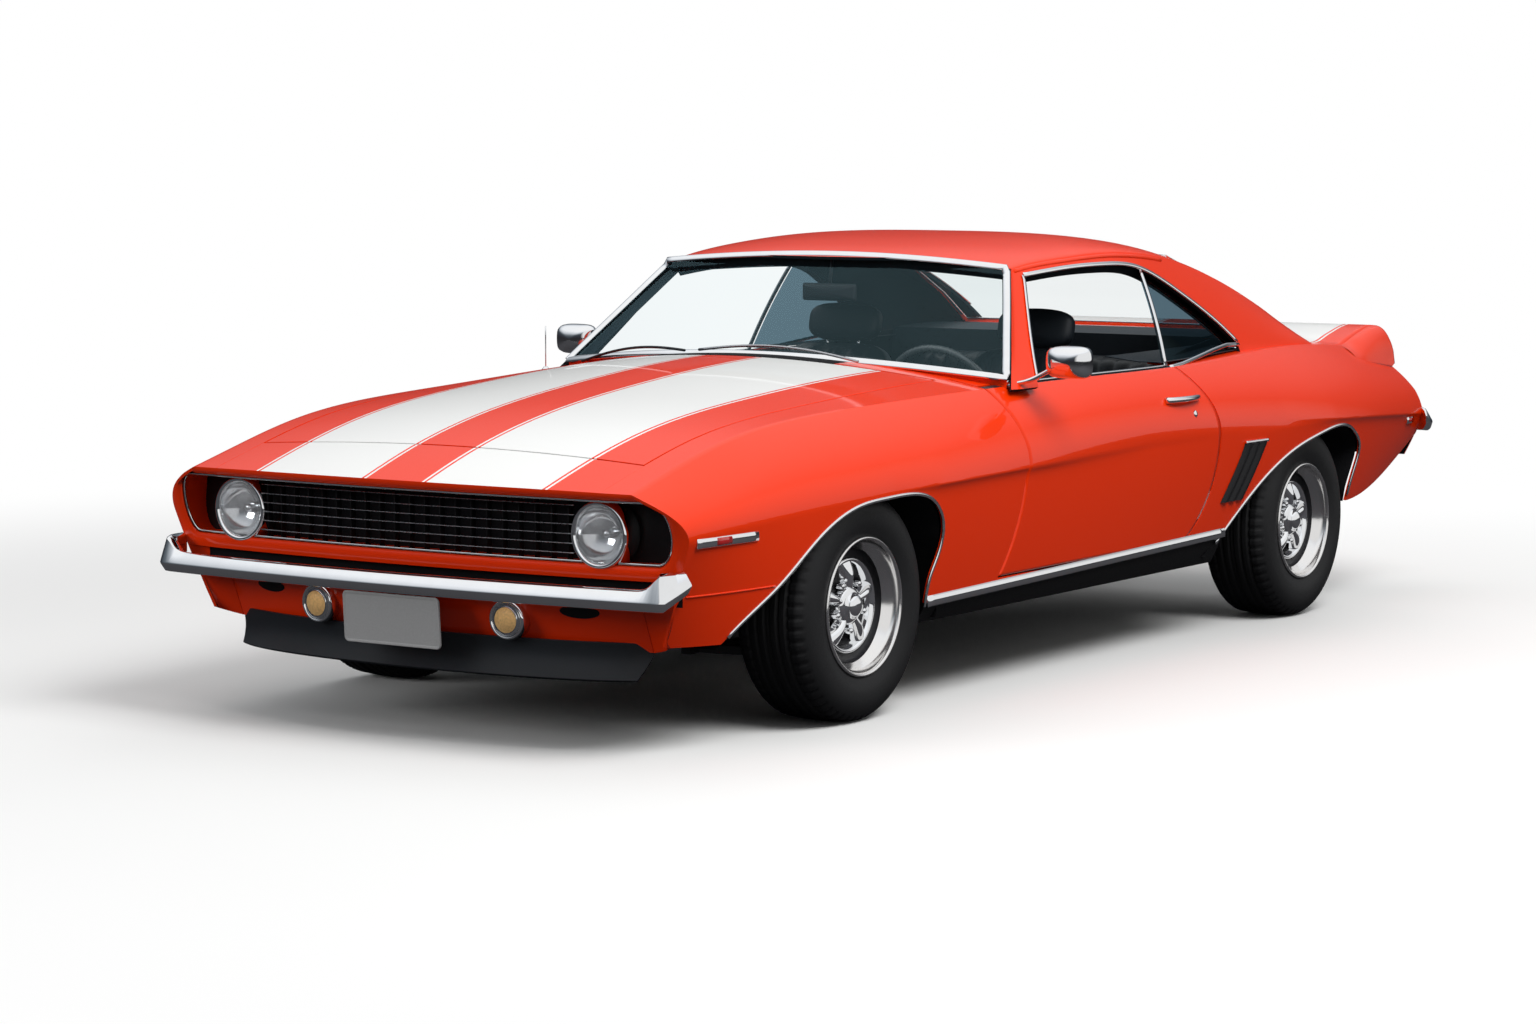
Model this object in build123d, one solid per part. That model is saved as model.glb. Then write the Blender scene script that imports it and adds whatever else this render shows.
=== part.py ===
"""Two-door muscle coupe: body panels, greenhouse, running gear and cabin.

X is to the car's left, -Y is the front, +Z is up; the tyres stand on z = 0.
"""
from build123d import *
import math
import os

# Chassis sizes in millimetres
WHEELBASE = 2746.0
FRONT_AXLE_Y = -1397.0
REAR_AXLE_Y = FRONT_AXLE_Y + WHEELBASE
FRONT_TRACK = 1514.0
REAR_TRACK = 1524.0
KINGPIN_X = 700.0

# Wheels
TYRE_R = 320.0
TYRE_W = 240.0
TREAD_W = 176.0
BEAD_R = 186.0
RIM_LIP_R = 193.0
RIM_W = 206.0
DISH_R = 170.0
SPINDLE_R = 30.0
RUNNING_GAP = 0.05
SEAT_GAP = 0.3

# Shut lines
DOOR_GAP = 6.0
LID_GAP = 6.0
HOOD_REAR_GAP = 12.0
SKIN = 18.0
COWL_T = 10.0
GLASS = 6.0
WALL = 42.0
LIP = 14.0

# Body sections: y, then x and z of sill edge, flank and crest, then z of the crown at the centre
HULL = [
    (-2400, 770, 300, 842, 545, 742, 668, 678),
    (-2200, 832, 290, 880, 572, 738, 722, 748),
    (-1900, 862, 282, 903, 600, 736, 796, 826),
    (-1400, 868, 270, 917, 626, 742, 845, 898),
    (-650, 868, 258, 911, 640, 778, 866, 948),
    (100, 868, 256, 907, 646, 804, 872, 930),
    (650, 868, 260, 915, 646, 797, 874, 930),
    (1350, 868, 275, 931, 650, 750, 892, 925),
    (1850, 850, 345, 910, 645, 724, 878, 906),
    (2400, 788, 480, 852, 605, 702, 815, 850),
]
LOWER_BOW = 6.0
UPPER_BOW = 32.0
FRONT_Y = -2362.0
NOSE_Y = -2350.0
NOSE_CORNER = (900.0, -2195.0)
TAIL_LINE = [(2150, 960), (2225, 850), (2318, 700), (2330, 560), (2270, 300)]

# Plan and side lines of the panels
FENDER_X = 650.0
HOOD_FRONT_Y = -2118.0
HOOD_REAR_Y = (-800.0, -675.0)
DOOR_FRONT = [(-640, 960), (-577, 640), (-690, 335)]
DOOR_REAR = [(400, 960), (645, 620), (470, 335)]
DOOR_INNER_X = 762.0
SILL_X = 700.0
DECK_X = 700.0
LID_FRONT_Y = 1800.0
LID_REAR_Y = 2190.0
QUARTER_INNER_X = 590.0
QUARTER_STEP_Y = 1030.0
FRONT_ARCH = [(-2040, 240), (-2022, 292), (-1668, 550), (-1498, 607), (-1203, 617), (-1100, 585),
              (-1043, 516), (-1058, 426), (-1080, 380), (-1085, 240)]
REAR_ARCH = [(700, 240), (756, 350), (975, 492), (1180, 576), (1369, 616), (1557, 629), (1660, 593),
             (1712, 543), (1702, 482), (1684, 418), (1680, 240)]
HOUSE_R = 392.0

# Greenhouse outlines: z, windshield centre y, corner x and y, side x and y, rear corner x and y, rear centre y
HOUSE = [
    (850, -815, 830, -540, 806, 450, 662, 1850, 1760),
    (1040, -505, 722, -349, 727, 420, 640, 1450, 1420),
    (1205, -235, 626, -185, 642, 380, 590, 930, 975),
]
# Roof crown: y, edge z, centre z
CROWN = [(-330, 1178, 1205), (0, 1222, 1276), (350, 1230, 1297), (700, 1216, 1282), (1050, 1136, 1198)]


def line(a, b):
    """Straight edge between two points."""
    return Edge.make_line(a, b)


def bow(a, m, b):
    """Arc from a through m to b."""
    return Edge.make_three_point_arc(a, m, b)


def face(*edges):
    """Flat face bounded by edges laid end to end."""
    return Face(Wire(list(edges)))


def polygon(place, points):
    """Flat face through points; place carries two numbers to a point in space."""
    spots = [place(*p) for p in points]
    return face(*[line(a, b) for a, b in zip(spots, spots[1:] + spots[:1])])


def side(x):
    """Places (y, z) on the plane at x."""
    return lambda y, z: (x, y, z)


def plan(z):
    """Places (x, y) on the plane at z."""
    return lambda x, y: (x, y, z)


def prism(flat, *along):
    """Solid swept by a flat face along a vector."""
    return Solid.extrude(flat, Vector(*along))


def slab(x0, x1, y0, y1, z0, z1):
    """Box between two corners."""
    return Pos((x0 + x1) / 2, (y0 + y1) / 2, (z0 + z1) / 2) * Box(x1 - x0, y1 - y0, z1 - z0)


def rod(a, b, r):
    """Cylinder of radius r from point a to point b."""
    a, b = Vector(*a), Vector(*b)
    return Solid.make_cylinder(r, (b - a).length, Plane(a, z_dir=b - a))


def joined(*shapes):
    """One solid out of shapes that overlap or share faces."""
    whole = shapes[0]
    for shape in shapes[1:]:
        whole = whole + shape
    return whole


def group(*shapes):
    """Several solids kept apart in one piece."""
    return Compound([s for shape in shapes for s in shape.solids()])


def flipped(shape):
    """The same piece on the car's right."""
    return group(*[mirror(s, about=Plane.YZ) for s in shape.solids()])


def both(shape):
    """The piece on the left with its twin on the right."""
    return group(shape, flipped(shape))


def strip(place, points, width):
    """Flat band of one width along a line of points; its corners are left square."""
    bands = []
    for (u0, v0), (u1, v1) in zip(points, points[1:]):
        length = math.hypot(u1 - u0, v1 - v0)
        du, dv = (u1 - u0) / length * width / 2, (v1 - v0) / length * width / 2
        bands.append([(u0 - du - dv, v0 - dv + du), (u1 + du - dv, v1 + dv + du),
                      (u1 + du + dv, v1 + dv - du), (u0 - du + dv, v0 - dv - du)])
    return [polygon(place, band) for band in bands]


# Master body
def bulged(a, b, rise, y):
    """Arc in a cross-section at y that bulges outward by rise."""
    dx, dz = b[0] - a[0], b[1] - a[1]
    length = math.hypot(dx, dz)
    mid = ((a[0] + b[0]) / 2 + rise * dz / length, (a[1] + b[1]) / 2 - rise * dx / length)
    return bow((a[0], y, a[1]), (mid[0], y, mid[1]), (b[0], y, b[1]))


def body_section(row, inset):
    """Closed cross-section of the body with its sides moved in by inset."""
    y, sill_x, sill_z, flank_x, flank_z, crest_x, crest_z, crown_z = row
    sill = (sill_x - inset, sill_z)
    flank = (flank_x - inset, flank_z)
    crest = (crest_x - inset, crest_z)
    away = [(-p[0], p[1]) for p in (sill, flank, crest)]
    return Wire([
        line((away[0][0], y, sill_z), (sill[0], y, sill_z)),
        bulged(sill, flank, LOWER_BOW, y),
        bulged(flank, crest, UPPER_BOW, y),
        bow((crest[0], y, crest_z), (0, y, crown_z), (away[2][0], y, crest_z)),
        bulged(away[2], away[1], UPPER_BOW, y),
        bulged(away[1], away[0], LOWER_BOW, y),
    ])


def body_solid(inset):
    """Body before it is split into panels, trimmed to the nose's plan curve and the tail's side line."""
    solid = Solid.make_loft([body_section(row, inset) for row in HULL], ruled=False)
    cx, cy = NOSE_CORNER
    ahead = NOSE_Y - 400
    nose_cut = prism(face(bow((-cx, cy, 0), (0, NOSE_Y, 0), (cx, cy, 0)), line((cx, cy, 0), (cx, ahead, 0)),
                          line((cx, ahead, 0), (-cx, ahead, 0)), line((-cx, ahead, 0), (-cx, cy, 0))), 0, 0, 1200)
    behind = [(2700, TAIL_LINE[-1][1]), (2700, TAIL_LINE[0][1])]
    tail_cut = prism(polygon(side(-1000), TAIL_LINE + behind), 2000, 0, 0)
    return solid - nose_cut - tail_cut


BODY = body_solid(0)
INNER = body_solid(LIP)


def sheet(region, thickness):
    """Panel of one thickness under the body's top surface inside a region."""
    return (BODY & region) - Pos(0, 0, -thickness) * BODY


# Greenhouse
def house_section(row, inset):
    """Plan outline of the greenhouse at one height, moved in by inset."""
    z, front_y, corner_x, corner_y, side_x, side_y, rear_x, rear_y, rear_mid = row
    fl, fr = (corner_x - inset, corner_y + inset, z), (inset - corner_x, corner_y + inset, z)
    rl, rr = (rear_x - inset, rear_y - inset, z), (inset - rear_x, rear_y - inset, z)
    return Wire([
        bow(fr, (0, front_y + inset * 1.6, z), fl),
        bow(fl, (side_x - inset, side_y, z), rl),
        bow(rl, (0, rear_mid - inset * 1.6, z), rr),
        bow(rr, (inset - side_x, side_y, z), fr),
    ])


def house_solid(inset):
    """Solid greenhouse: walls up to the cant rail, then a crowned roof over the same outline."""
    walls = Solid.make_loft([house_section(row, inset) for row in HOUSE], ruled=False)
    top = HOUSE[-1]
    wide = top[4] + 120
    slices = []
    for y, edge_z, mid_z in CROWN:
        low = top[0] - 120
        slices.append(Wire([
            line((-wide, y, low), (wide, y, low)),
            line((wide, y, low), (wide, y, edge_z - inset)),
            bow((wide, y, edge_z - inset), (0, y, mid_z - inset), (-wide, y, edge_z - inset)),
            line((-wide, y, edge_z - inset), (-wide, y, low)),
        ]))
    crown = Solid.make_loft(slices, ruled=False)
    column = prism(Face(house_section(top, inset)), 0, 0, 160)
    return joined(walls, column & crown)


HOUSE_OUT = house_solid(0)
HOUSE_IN = house_solid(WALL)

SIDE_GLASS = [(-430, 800), (-135, 1172), (345, 1180), (600, 1150), (800, 1068), (1000, 945), (985, 922),
              (940, 912), (620, 866), (560, 800)]
SIDE_SPLIT_Y = 545.0


def screen_prism(half_low, low_z, low_mid, half_top, top_z, top_mid, y0, y1, gap):
    """Window opening across the car: four-sided with bowed upper and lower edges, run along y."""
    a, b = half_low - gap, half_top - gap
    low, top = low_z + gap, top_z - gap
    return prism(face(bow((-a, y0, low), (0, y0, low_mid + gap), (a, y0, low)), line((a, y0, low), (b, y0, top)),
                      bow((b, y0, top), (0, y0, top_mid - gap), (-b, y0, top)), line((-b, y0, top), (-a, y0, low))),
                 0, y1 - y0, 0)


def windshield_cut(gap):
    """Windshield opening, drawn in by gap."""
    return screen_prism(728, 908, 962, 582, 1168, 1190, -900, 60, gap)


def backlight_cut(gap):
    """Rear window opening, drawn in by gap."""
    return screen_prism(545, 948, 958, 498, 1150, 1168, 880, 2000, gap)


side_cut = prism(polygon(side(-1000), SIDE_GLASS), 2000, 0, 0)
FOOT_Z = 886.0
door_room = both(slab(DOOR_INNER_X - DOOR_GAP, 1000, -700, -380, 800, FOOT_Z))
roof_shell = HOUSE_OUT - HOUSE_IN - BODY - windshield_cut(0) - backlight_cut(0) - side_cut - door_room
roof_shell = group(max(roof_shell.solids(), key=lambda s: s.volume))

GLASS_OUT = house_solid(GLASS)
GLASS_IN = house_solid(2 * GLASS)
pane = GLASS_OUT - GLASS_IN
windshield = pane & windshield_cut(SEAT_GAP)
rear_window = pane & backlight_cut(SEAT_GAP)
inner_points = [(y + SEAT_GAP if y < SIDE_SPLIT_Y else y - SEAT_GAP * 2, z - SEAT_GAP if z > 1000 else z + SEAT_GAP)
                for y, z in SIDE_GLASS]
quarter_zone = slab(500, 1000, SIDE_SPLIT_Y, 1200, 872, 1250)
quarter_glass = pane & prism(polygon(side(0), inner_points), 1000, 0, 0) & quarter_zone
quarter_windows = both(quarter_glass - BODY)

# Nose and front panels
GRILLE_HALF = 806.0
GRILLE_LOW = 490.0
GRILLE_TOP = 666.0
GRILLE_BACK_Y = -2190.0
VALANCE_TOP = 425.0
VALANCE_X = 705.0
VALANCE_BACK_Y = -2080.0


def grille_cut(y0, y1, shrink):
    """Long opening with round ends, run along y."""
    r = (GRILLE_TOP - GRILLE_LOW) / 2
    x = GRILLE_HALF - r
    mid = (GRILLE_TOP + GRILLE_LOW) / 2
    q = r - shrink
    outline = face(line((-x, y0, mid - q), (x, y0, mid - q)), bow((x, y0, mid - q), (x + q, y0, mid), (x, y0, mid + q)),
                   line((x, y0, mid + q), (-x, y0, mid + q)),
                   bow((-x, y0, mid + q), (-x - q, y0, mid), (-x, y0, mid - q)))
    return prism(outline, 0, y1 - y0, 0)


opening = grille_cut(-2450, GRILLE_BACK_Y, 0)
valance_zone = slab(-VALANCE_X, VALANCE_X, -2450, VALANCE_BACK_Y, 200, VALANCE_TOP)
nose_zone = slab(-FENDER_X, FENDER_X, -2450, HOOD_FRONT_Y - LID_GAP, VALANCE_TOP, 900)
nose_panel = (BODY & nose_zone) - opening
front_valance = (BODY & valance_zone) - Pos(0, 40, 25) * BODY
front_valance = group(max(front_valance.solids(), key=lambda s: s.volume))


def door_edge(points, shift, far_y):
    """Zone on one side of a door's curved edge, seen from the side."""
    (y0, z0), (y1, z1), (y2, z2) = [(y + shift, z) for y, z in points]
    return prism(face(bow((0, y0, z0), (0, y1, z1), (0, y2, z2)), line((0, y2, z2), (0, y2, 100)),
                      line((0, y2, 100), (0, far_y, 100)), line((0, far_y, 100), (0, far_y, z0)),
                      line((0, far_y, z0), (0, y0, z0))), 1200, 0, 0)


def wheel_space(arch, axle_y, inner_x):
    """Room for a wheel: the arch through the skin and the round house behind its lip."""
    house = rod((inner_x, axle_y, TYRE_R), (1000, axle_y, TYRE_R), HOUSE_R) & INNER
    return joined(prism(polygon(side(inner_x), arch), 1000 - inner_x, 0, 0), house)


front_space = wheel_space(FRONT_ARCH, FRONT_AXLE_Y, 560)
rear_space = wheel_space(REAR_ARCH, REAR_AXLE_Y, 620)

# Door hinges: a pin in a pocket of the hinge pillar, straps on the door
HINGE_X = 872.0
HINGE_Y = -735.0
HINGE_PIN_R = 6.0
HINGE_Z = (480.0, 690.0)
HINGE_H = 34.0
STRAP_T = 14.0
# Goose-neck strap from the pin, x and y from it: it reaches round the fender's edge with the door open
STRAP = [(0, 0), (-80, 30), (-150, 84), (-152, 98), (-97, 170)]
POCKET_GAP = 6.0

fender = BODY & slab(FENDER_X, 1000, -2450, 0, 100, 960) & door_edge(DOOR_FRONT, -DOOR_GAP, -2600)
fender = fender - opening - front_space - slab(FENDER_X - 1, VALANCE_X, -2450, VALANCE_BACK_Y, 100, VALANCE_TOP)
for z in HINGE_Z:
    half = HINGE_H / 2 + POCKET_GAP
    pocket_x = HINGE_X + STRAP[3][0] - STRAP_T - POCKET_GAP
    pocket = slab(pocket_x, HINGE_X + 20, HINGE_Y - 30, HINGE_Y + STRAP[4][1], z - half, z + half)
    fender = fender - pocket
pins = [rod((HINGE_X, HINGE_Y, z - HINGE_H / 2 - 10), (HINGE_X, HINGE_Y, z + HINGE_H / 2 + 10), HINGE_PIN_R)
        for z in HINGE_Z]
fender = joined(fender, *pins)
front_fenders = both(fender)

door_zone = door_edge(DOOR_FRONT, 0, 2600) & door_edge(DOOR_REAR, 0, -2600)
door = BODY & slab(DOOR_INNER_X, 1000, -900, 900, DOOR_FRONT[2][1], 960) & door_zone
straps = []
for z in HINGE_Z:
    low = z - HINGE_H / 2
    bands = strip(plan(low), [(HINGE_X + x, HINGE_Y + y) for x, y in STRAP], STRAP_T)
    straps.append(joined(*[prism(band, 0, 0, HINGE_H) for band in bands],
                         rod((HINGE_X, HINGE_Y, low), (HINGE_X, HINGE_Y, low + HINGE_H), 2 * HINGE_PIN_R + 2)))
door = joined(door, *straps)
for z in HINGE_Z:
    door = door - rod((HINGE_X, HINGE_Y, z - HINGE_H), (HINGE_X, HINGE_Y, z + HINGE_H), HINGE_PIN_R + RUNNING_GAP)
door_left = door
door_right = flipped(door)

# Sills and quarters
sill_front, sill_rear = DOOR_FRONT[2][0] - DOOR_GAP, DOOR_REAR[2][0] + DOOR_GAP
rocker_panels = both(BODY & slab(SILL_X, 1000, sill_front, sill_rear, 100, DOOR_FRONT[2][1] - DOOR_GAP))
quarter = BODY & door_edge(DOOR_REAR, DOOR_GAP, 2600)
quarter = quarter & joined(slab(DOOR_INNER_X, 1000, 0, QUARTER_STEP_Y, 100, 960),
                           slab(QUARTER_INNER_X, 1000, QUARTER_STEP_Y, 2500, 100, 960))
axle_slot = slab(QUARTER_INNER_X - 1, 625, REAR_AXLE_Y - 90, REAR_AXLE_Y + 90, 0, TYRE_R + 110)
quarter = quarter - rear_space - axle_slot - slab(0, DECK_X, QUARTER_STEP_Y - 1, 2500, 790, 1000)

# Hood with goose-neck hinges at the cowl
HOOD_AXIS = (-630.0, 875.0)
LID_AXIS = (LID_FRONT_Y - 60.0, 876.0)
NECK_X = 575.0
NECK_W = 12.0
LID_NECK_X = 470.0
NECK_PIN_R = 5.0
EAR_H = 20.0


def hood_zone(inset, rear_shift):
    """Plan zone of the hood with its bowed rear edge."""
    x = FENDER_X - inset
    y0, (ym, yr) = HOOD_FRONT_Y, (HOOD_REAR_Y[0] + rear_shift, HOOD_REAR_Y[1] + rear_shift)
    return prism(face(line((x, yr, 500), (x, y0, 500)), line((x, y0, 500), (-x, y0, 500)),
                      line((-x, y0, 500), (-x, yr, 500)), bow((-x, yr, 500), (0, ym, 500), (x, yr, 500))), 0, 0, 600)


def goose_neck(points, x, axis):
    """Bent hinge arm with an eye on the lid's axis."""
    bands = strip(side(x - NECK_W / 2), points, NECK_W)
    eye = rod((x - NECK_W / 2, *axis), (x + NECK_W / 2, *axis), NECK_PIN_R * 2)
    return joined(*[prism(band, NECK_W, 0, 0) for band in bands], eye)


def neck_bracket(x, axis):
    """Pin with two ears that hang from a fixed panel above it."""
    ears = [slab(e - 4, e + 4, axis[0] - 12, axis[0] + 12, axis[1] - 10, axis[1] + EAR_H) for e in (x - 16, x + 16)]
    return [*ears, rod((x - 20, *axis), (x + 20, *axis), NECK_PIN_R)]


def on_lid(lid, points, x, axis):
    """Lid with a hinge arm on each side, bored for the pins."""
    arm = goose_neck(points, x, axis)
    lid = joined(lid, arm, *flipped(arm).solids())
    return lid - rod((-900, *axis), (900, *axis), NECK_PIN_R + RUNNING_GAP)


hood = sheet(hood_zone(LID_GAP, 0), SKIN)
hy, hz = HOOD_AXIS
hood_arm = [(hy, hz), (hy - 40, hz - 60), (hy - 118, hz - 40), (hy - 150, hz + 20)]
hood = on_lid(hood, hood_arm, NECK_X, HOOD_AXIS)

cowl = sheet(slab(-FENDER_X, FENDER_X, -900, -500, 500, 1000), COWL_T) - hood_zone(0, HOOD_REAR_GAP)
cowl = joined(cowl, *neck_bracket(NECK_X, HOOD_AXIS), *neck_bracket(-NECK_X, HOOD_AXIS))
cowl_panel = cowl

# Tail, deck filler and trunk lid
filler = sheet(slab(-DECK_X, DECK_X, 1480, LID_FRONT_Y - LID_GAP, 500, 1000), COWL_T)
ly, lz = LID_AXIS
filler = joined(filler, *neck_bracket(LID_NECK_X, LID_AXIS), *neck_bracket(-LID_NECK_X, LID_AXIS))
TAIL_X = QUARTER_INNER_X
tail = BODY & slab(-TAIL_X, TAIL_X, LID_REAR_Y + 20, 2500, 300, 790)
rail = BODY & slab(-DECK_X, DECK_X, LID_REAR_Y + LID_GAP, 2500, 790, 1000)
tail_panel = joined(tail, rail)
deck_filler = filler

lid = sheet(slab(LID_GAP - DECK_X, DECK_X - LID_GAP, LID_FRONT_Y, LID_REAR_Y, 500, 1000), SKIN)
SPOILER_TOP = 930.0
SPOILER = [(1990, 850), (2015, 884), (2120, 912), (2215, SPOILER_TOP), (2268, SPOILER_TOP - 2),
           (2266, 914), (2196, 898), (2188, 896), (2188, 850)]
CAP_FRONT = [(DECK_X, 760), (DECK_X, SPOILER_TOP), (730, SPOILER_TOP - 4), (760, 904), (778, 850), (778, 760)]
blade = prism(polygon(side(LID_GAP - DECK_X), SPOILER), 2 * (DECK_X - LID_GAP), 0, 0) - Pos(0, 0, -4) * BODY
lid = joined(lid, blade)
cap = prism(polygon(side(DECK_X), SPOILER), CAP_FRONT[-1][0] - DECK_X, 0, 0) - BODY
cap = cap & prism(polygon(lambda x, z: (x, 1900, z), CAP_FRONT), 0, 500, 0)
quarter_panels = both(joined(quarter, cap))
lid_arm = [(ly, lz), (ly + 45, lz - 85), (ly + 118, lz - 60), (ly + 135, lz + 14)]
trunk_lid = on_lid(lid, lid_arm, LID_NECK_X, LID_AXIS)

# Chin spoiler under the valance
CHIN_TOP = 290.0
CHIN_LOW = 196.0
CHIN_T = 12.0


def chin_band(y_mid, y_end, x_end, z):
    """Curve of the spoiler's plan."""
    return bow((-x_end, y_end, z), (0, y_mid, z), (x_end, y_end, z))


outer = chin_band(-2268, -2090, 690, CHIN_LOW)
inner = chin_band(-2268 + CHIN_T, -2090 + CHIN_T, 690, CHIN_LOW)
chin = prism(face(outer, line(outer @ 1, inner @ 1), inner, line(inner @ 0, outer @ 0)), 0, 0, CHIN_TOP - CHIN_LOW)
chin_spoiler = chin - BODY

# Bumpers: a two-facet bar round the plan curve with turned-in ends
BUMPER_T = 30.0


def bumper(y_mid, y_end, x_end, wrap, low, high, nose):
    """Bar between two plan curves; nose is the depth of its forward ridge, wrap the length of its ends."""
    sign = 1 if y_end > y_mid else -1
    back = sign * wrap
    thick = sign * BUMPER_T
    out = face(bow((-x_end, y_end, low), (0, y_mid, low), (x_end, y_end, low)),
               line((x_end, y_end, low), (x_end + 12, y_end + back, low)),
               line((x_end + 12, y_end + back, low), (x_end - 14, y_end + back, low)),
               line((x_end - 14, y_end + back, low), (x_end - 26, y_end + thick, low)),
               bow((x_end - 26, y_end + thick, low), (0, y_mid + thick, low), (26 - x_end, y_end + thick, low)),
               line((26 - x_end, y_end + thick, low), (14 - x_end, y_end + back, low)),
               line((14 - x_end, y_end + back, low), (-x_end - 12, y_end + back, low)),
               line((-x_end - 12, y_end + back, low), (-x_end, y_end, low)))
    bar = prism(out, 0, 0, high - low)
    return chamfer(bar.faces().sort_by(Axis.Z)[-1].outer_wire().edges().filter_by(GeomType.CIRCLE), nose)


front_bumper = bumper(FRONT_Y + 4, -2236, 872, 70, 398, 476, 11)
front_irons = [slab(x - 16, x + 16, -2330, -2150, 432, 452) for x in (-430, 430)]
rear_bumper = bumper(-FRONT_Y, 2318, 872, 70, 520, 610, 11)
for piece in front_irons:
    front_bumper = joined(front_bumper, piece)
front_bumper = front_bumper - BODY
rear_bumper = rear_bumper - BODY

# Grille and lamps
GRILLE_BAR = 6.0
grille_zone = grille_cut(GRILLE_BACK_Y - 30, GRILLE_BACK_Y, SEAT_GAP)
LAMP_X = 606.0
LAMP_Z = (GRILLE_LOW + GRILLE_TOP) / 2
LAMP_R = 86.0
LAMP_FRONT_Y = -2272.0
bars = []
bar_count = 6
for k in range(bar_count):
    z = GRILLE_LOW + (k + 0.5) * (GRILLE_TOP - GRILLE_LOW) / bar_count
    bars.append(slab(-GRILLE_HALF, GRILLE_HALF, GRILLE_BACK_Y - 28, GRILLE_BACK_Y - 8, z - GRILLE_BAR / 2,
                     z + GRILLE_BAR / 2))
for k in range(-16, 17):
    x = k * 46.0
    bars.append(slab(x - 2, x + 2, GRILLE_BACK_Y - 24, GRILLE_BACK_Y - 8, GRILLE_LOW, GRILLE_TOP))
backing = slab(-GRILLE_HALF, GRILLE_HALF, GRILLE_BACK_Y - 9, GRILLE_BACK_Y, GRILLE_LOW, GRILLE_TOP)
grille = joined(backing, *bars) & grille_zone
lamp_seats = [rod((x, -2400, LAMP_Z), (x, GRILLE_BACK_Y, LAMP_Z), LAMP_R + SEAT_GAP) for x in (-LAMP_X, LAMP_X)]
for seat in lamp_seats:
    grille = grille - seat
grille = group(*[s for s in grille.solids() if s.volume > 1000])
lamp = Pos(LAMP_X, GRILLE_BACK_Y, LAMP_Z) * Rot(90, 0, 0) * Cone(LAMP_R - 14, LAMP_R, GRILLE_BACK_Y - LAMP_FRONT_Y,
                                                               align=(Align.CENTER, Align.CENTER, Align.MIN))
headlamps = both(lamp)
PARK_X = 322.0
PARK_Z = 346.0
PARK_R = 50.0


park_bore = [rod((x, -2400, PARK_Z), (x, -2100, PARK_Z), PARK_R + SEAT_GAP) for x in (-PARK_X, PARK_X)]
for bore in park_bore:
    front_valance = front_valance - bore
park = rod((PARK_X, -2400, PARK_Z), (PARK_X, -2200, PARK_Z), PARK_R) & Pos(0, -6, 0) * BODY
parking_lamps = both(park - Pos(0, 40, 0) * BODY)
TAIL_LAMP = (300.0, 560.0, 630.0, 740.0)
lamp_zone = slab(TAIL_LAMP[0], TAIL_LAMP[1], 2200, 2500, TAIL_LAMP[2], TAIL_LAMP[3])
tail_lamp = (Pos(0, 8, 0) * BODY & lamp_zone) - BODY
tail_lamps = both(tail_lamp)

# Blank number plate on the bumper
PLATE_W = 305.0
PLATE_T = 4.0
PLATE_H = 152.0
PLATE_Z = 330.0
number_plate = slab(-PLATE_W / 2, PLATE_W / 2, FRONT_Y, FRONT_Y + PLATE_T, PLATE_Z - PLATE_H / 2, PLATE_Z + PLATE_H / 2)
PLATE_HOLES = 178.0
PLATE_HOLE_R = 3.5
for x in (-PLATE_HOLES / 2, PLATE_HOLES / 2):
    screw_z = PLATE_Z + PLATE_H / 2 - 16
    number_plate = number_plate - rod((x, FRONT_Y - 5, screw_z), (x, FRONT_Y + PLATE_T + 5, screw_z), PLATE_HOLE_R)

# Wheels
TYRE_RIM = BEAD_R + SEAT_GAP


def tyre_ring(x, y):
    """Tyre with bulged sidewalls and round shoulders, turned about its axle."""
    w, t, h = TYRE_W / 2, TREAD_W / 2, RIM_W / 2 - 8
    at = lambda u, r: (x + u, y, TYRE_R + r)
    wall_r = BEAD_R + 0.48 * (TYRE_R - BEAD_R)
    lip_r = RIM_LIP_R + 3
    edges = [line(at(-h, TYRE_RIM), at(h, TYRE_RIM)), line(at(h, TYRE_RIM), at(h, lip_r))]
    edges.append(bow(at(h, lip_r), at(w - 6, lip_r + 24), at(w, wall_r)))
    edges.append(bow(at(w, wall_r), at(w - 8, TYRE_R - 26), at(t, TYRE_R - 3)))
    edges.append(bow(at(t, TYRE_R - 3), at(0, TYRE_R), at(-t, TYRE_R - 3)))
    edges.append(bow(at(-t, TYRE_R - 3), at(8 - w, TYRE_R - 26), at(-w, wall_r)))
    edges.append(bow(at(-w, wall_r), at(6 - w, lip_r + 24), at(-h, lip_r)))
    edges.append(line(at(-h, lip_r), at(-h, TYRE_RIM)))
    return Solid.revolve(face(*edges), 360, Axis((x, y, TYRE_R), (1, 0, 0)))


HUB_R = 62.0
DISC_X = 18.0
SPOKES = 5


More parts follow.
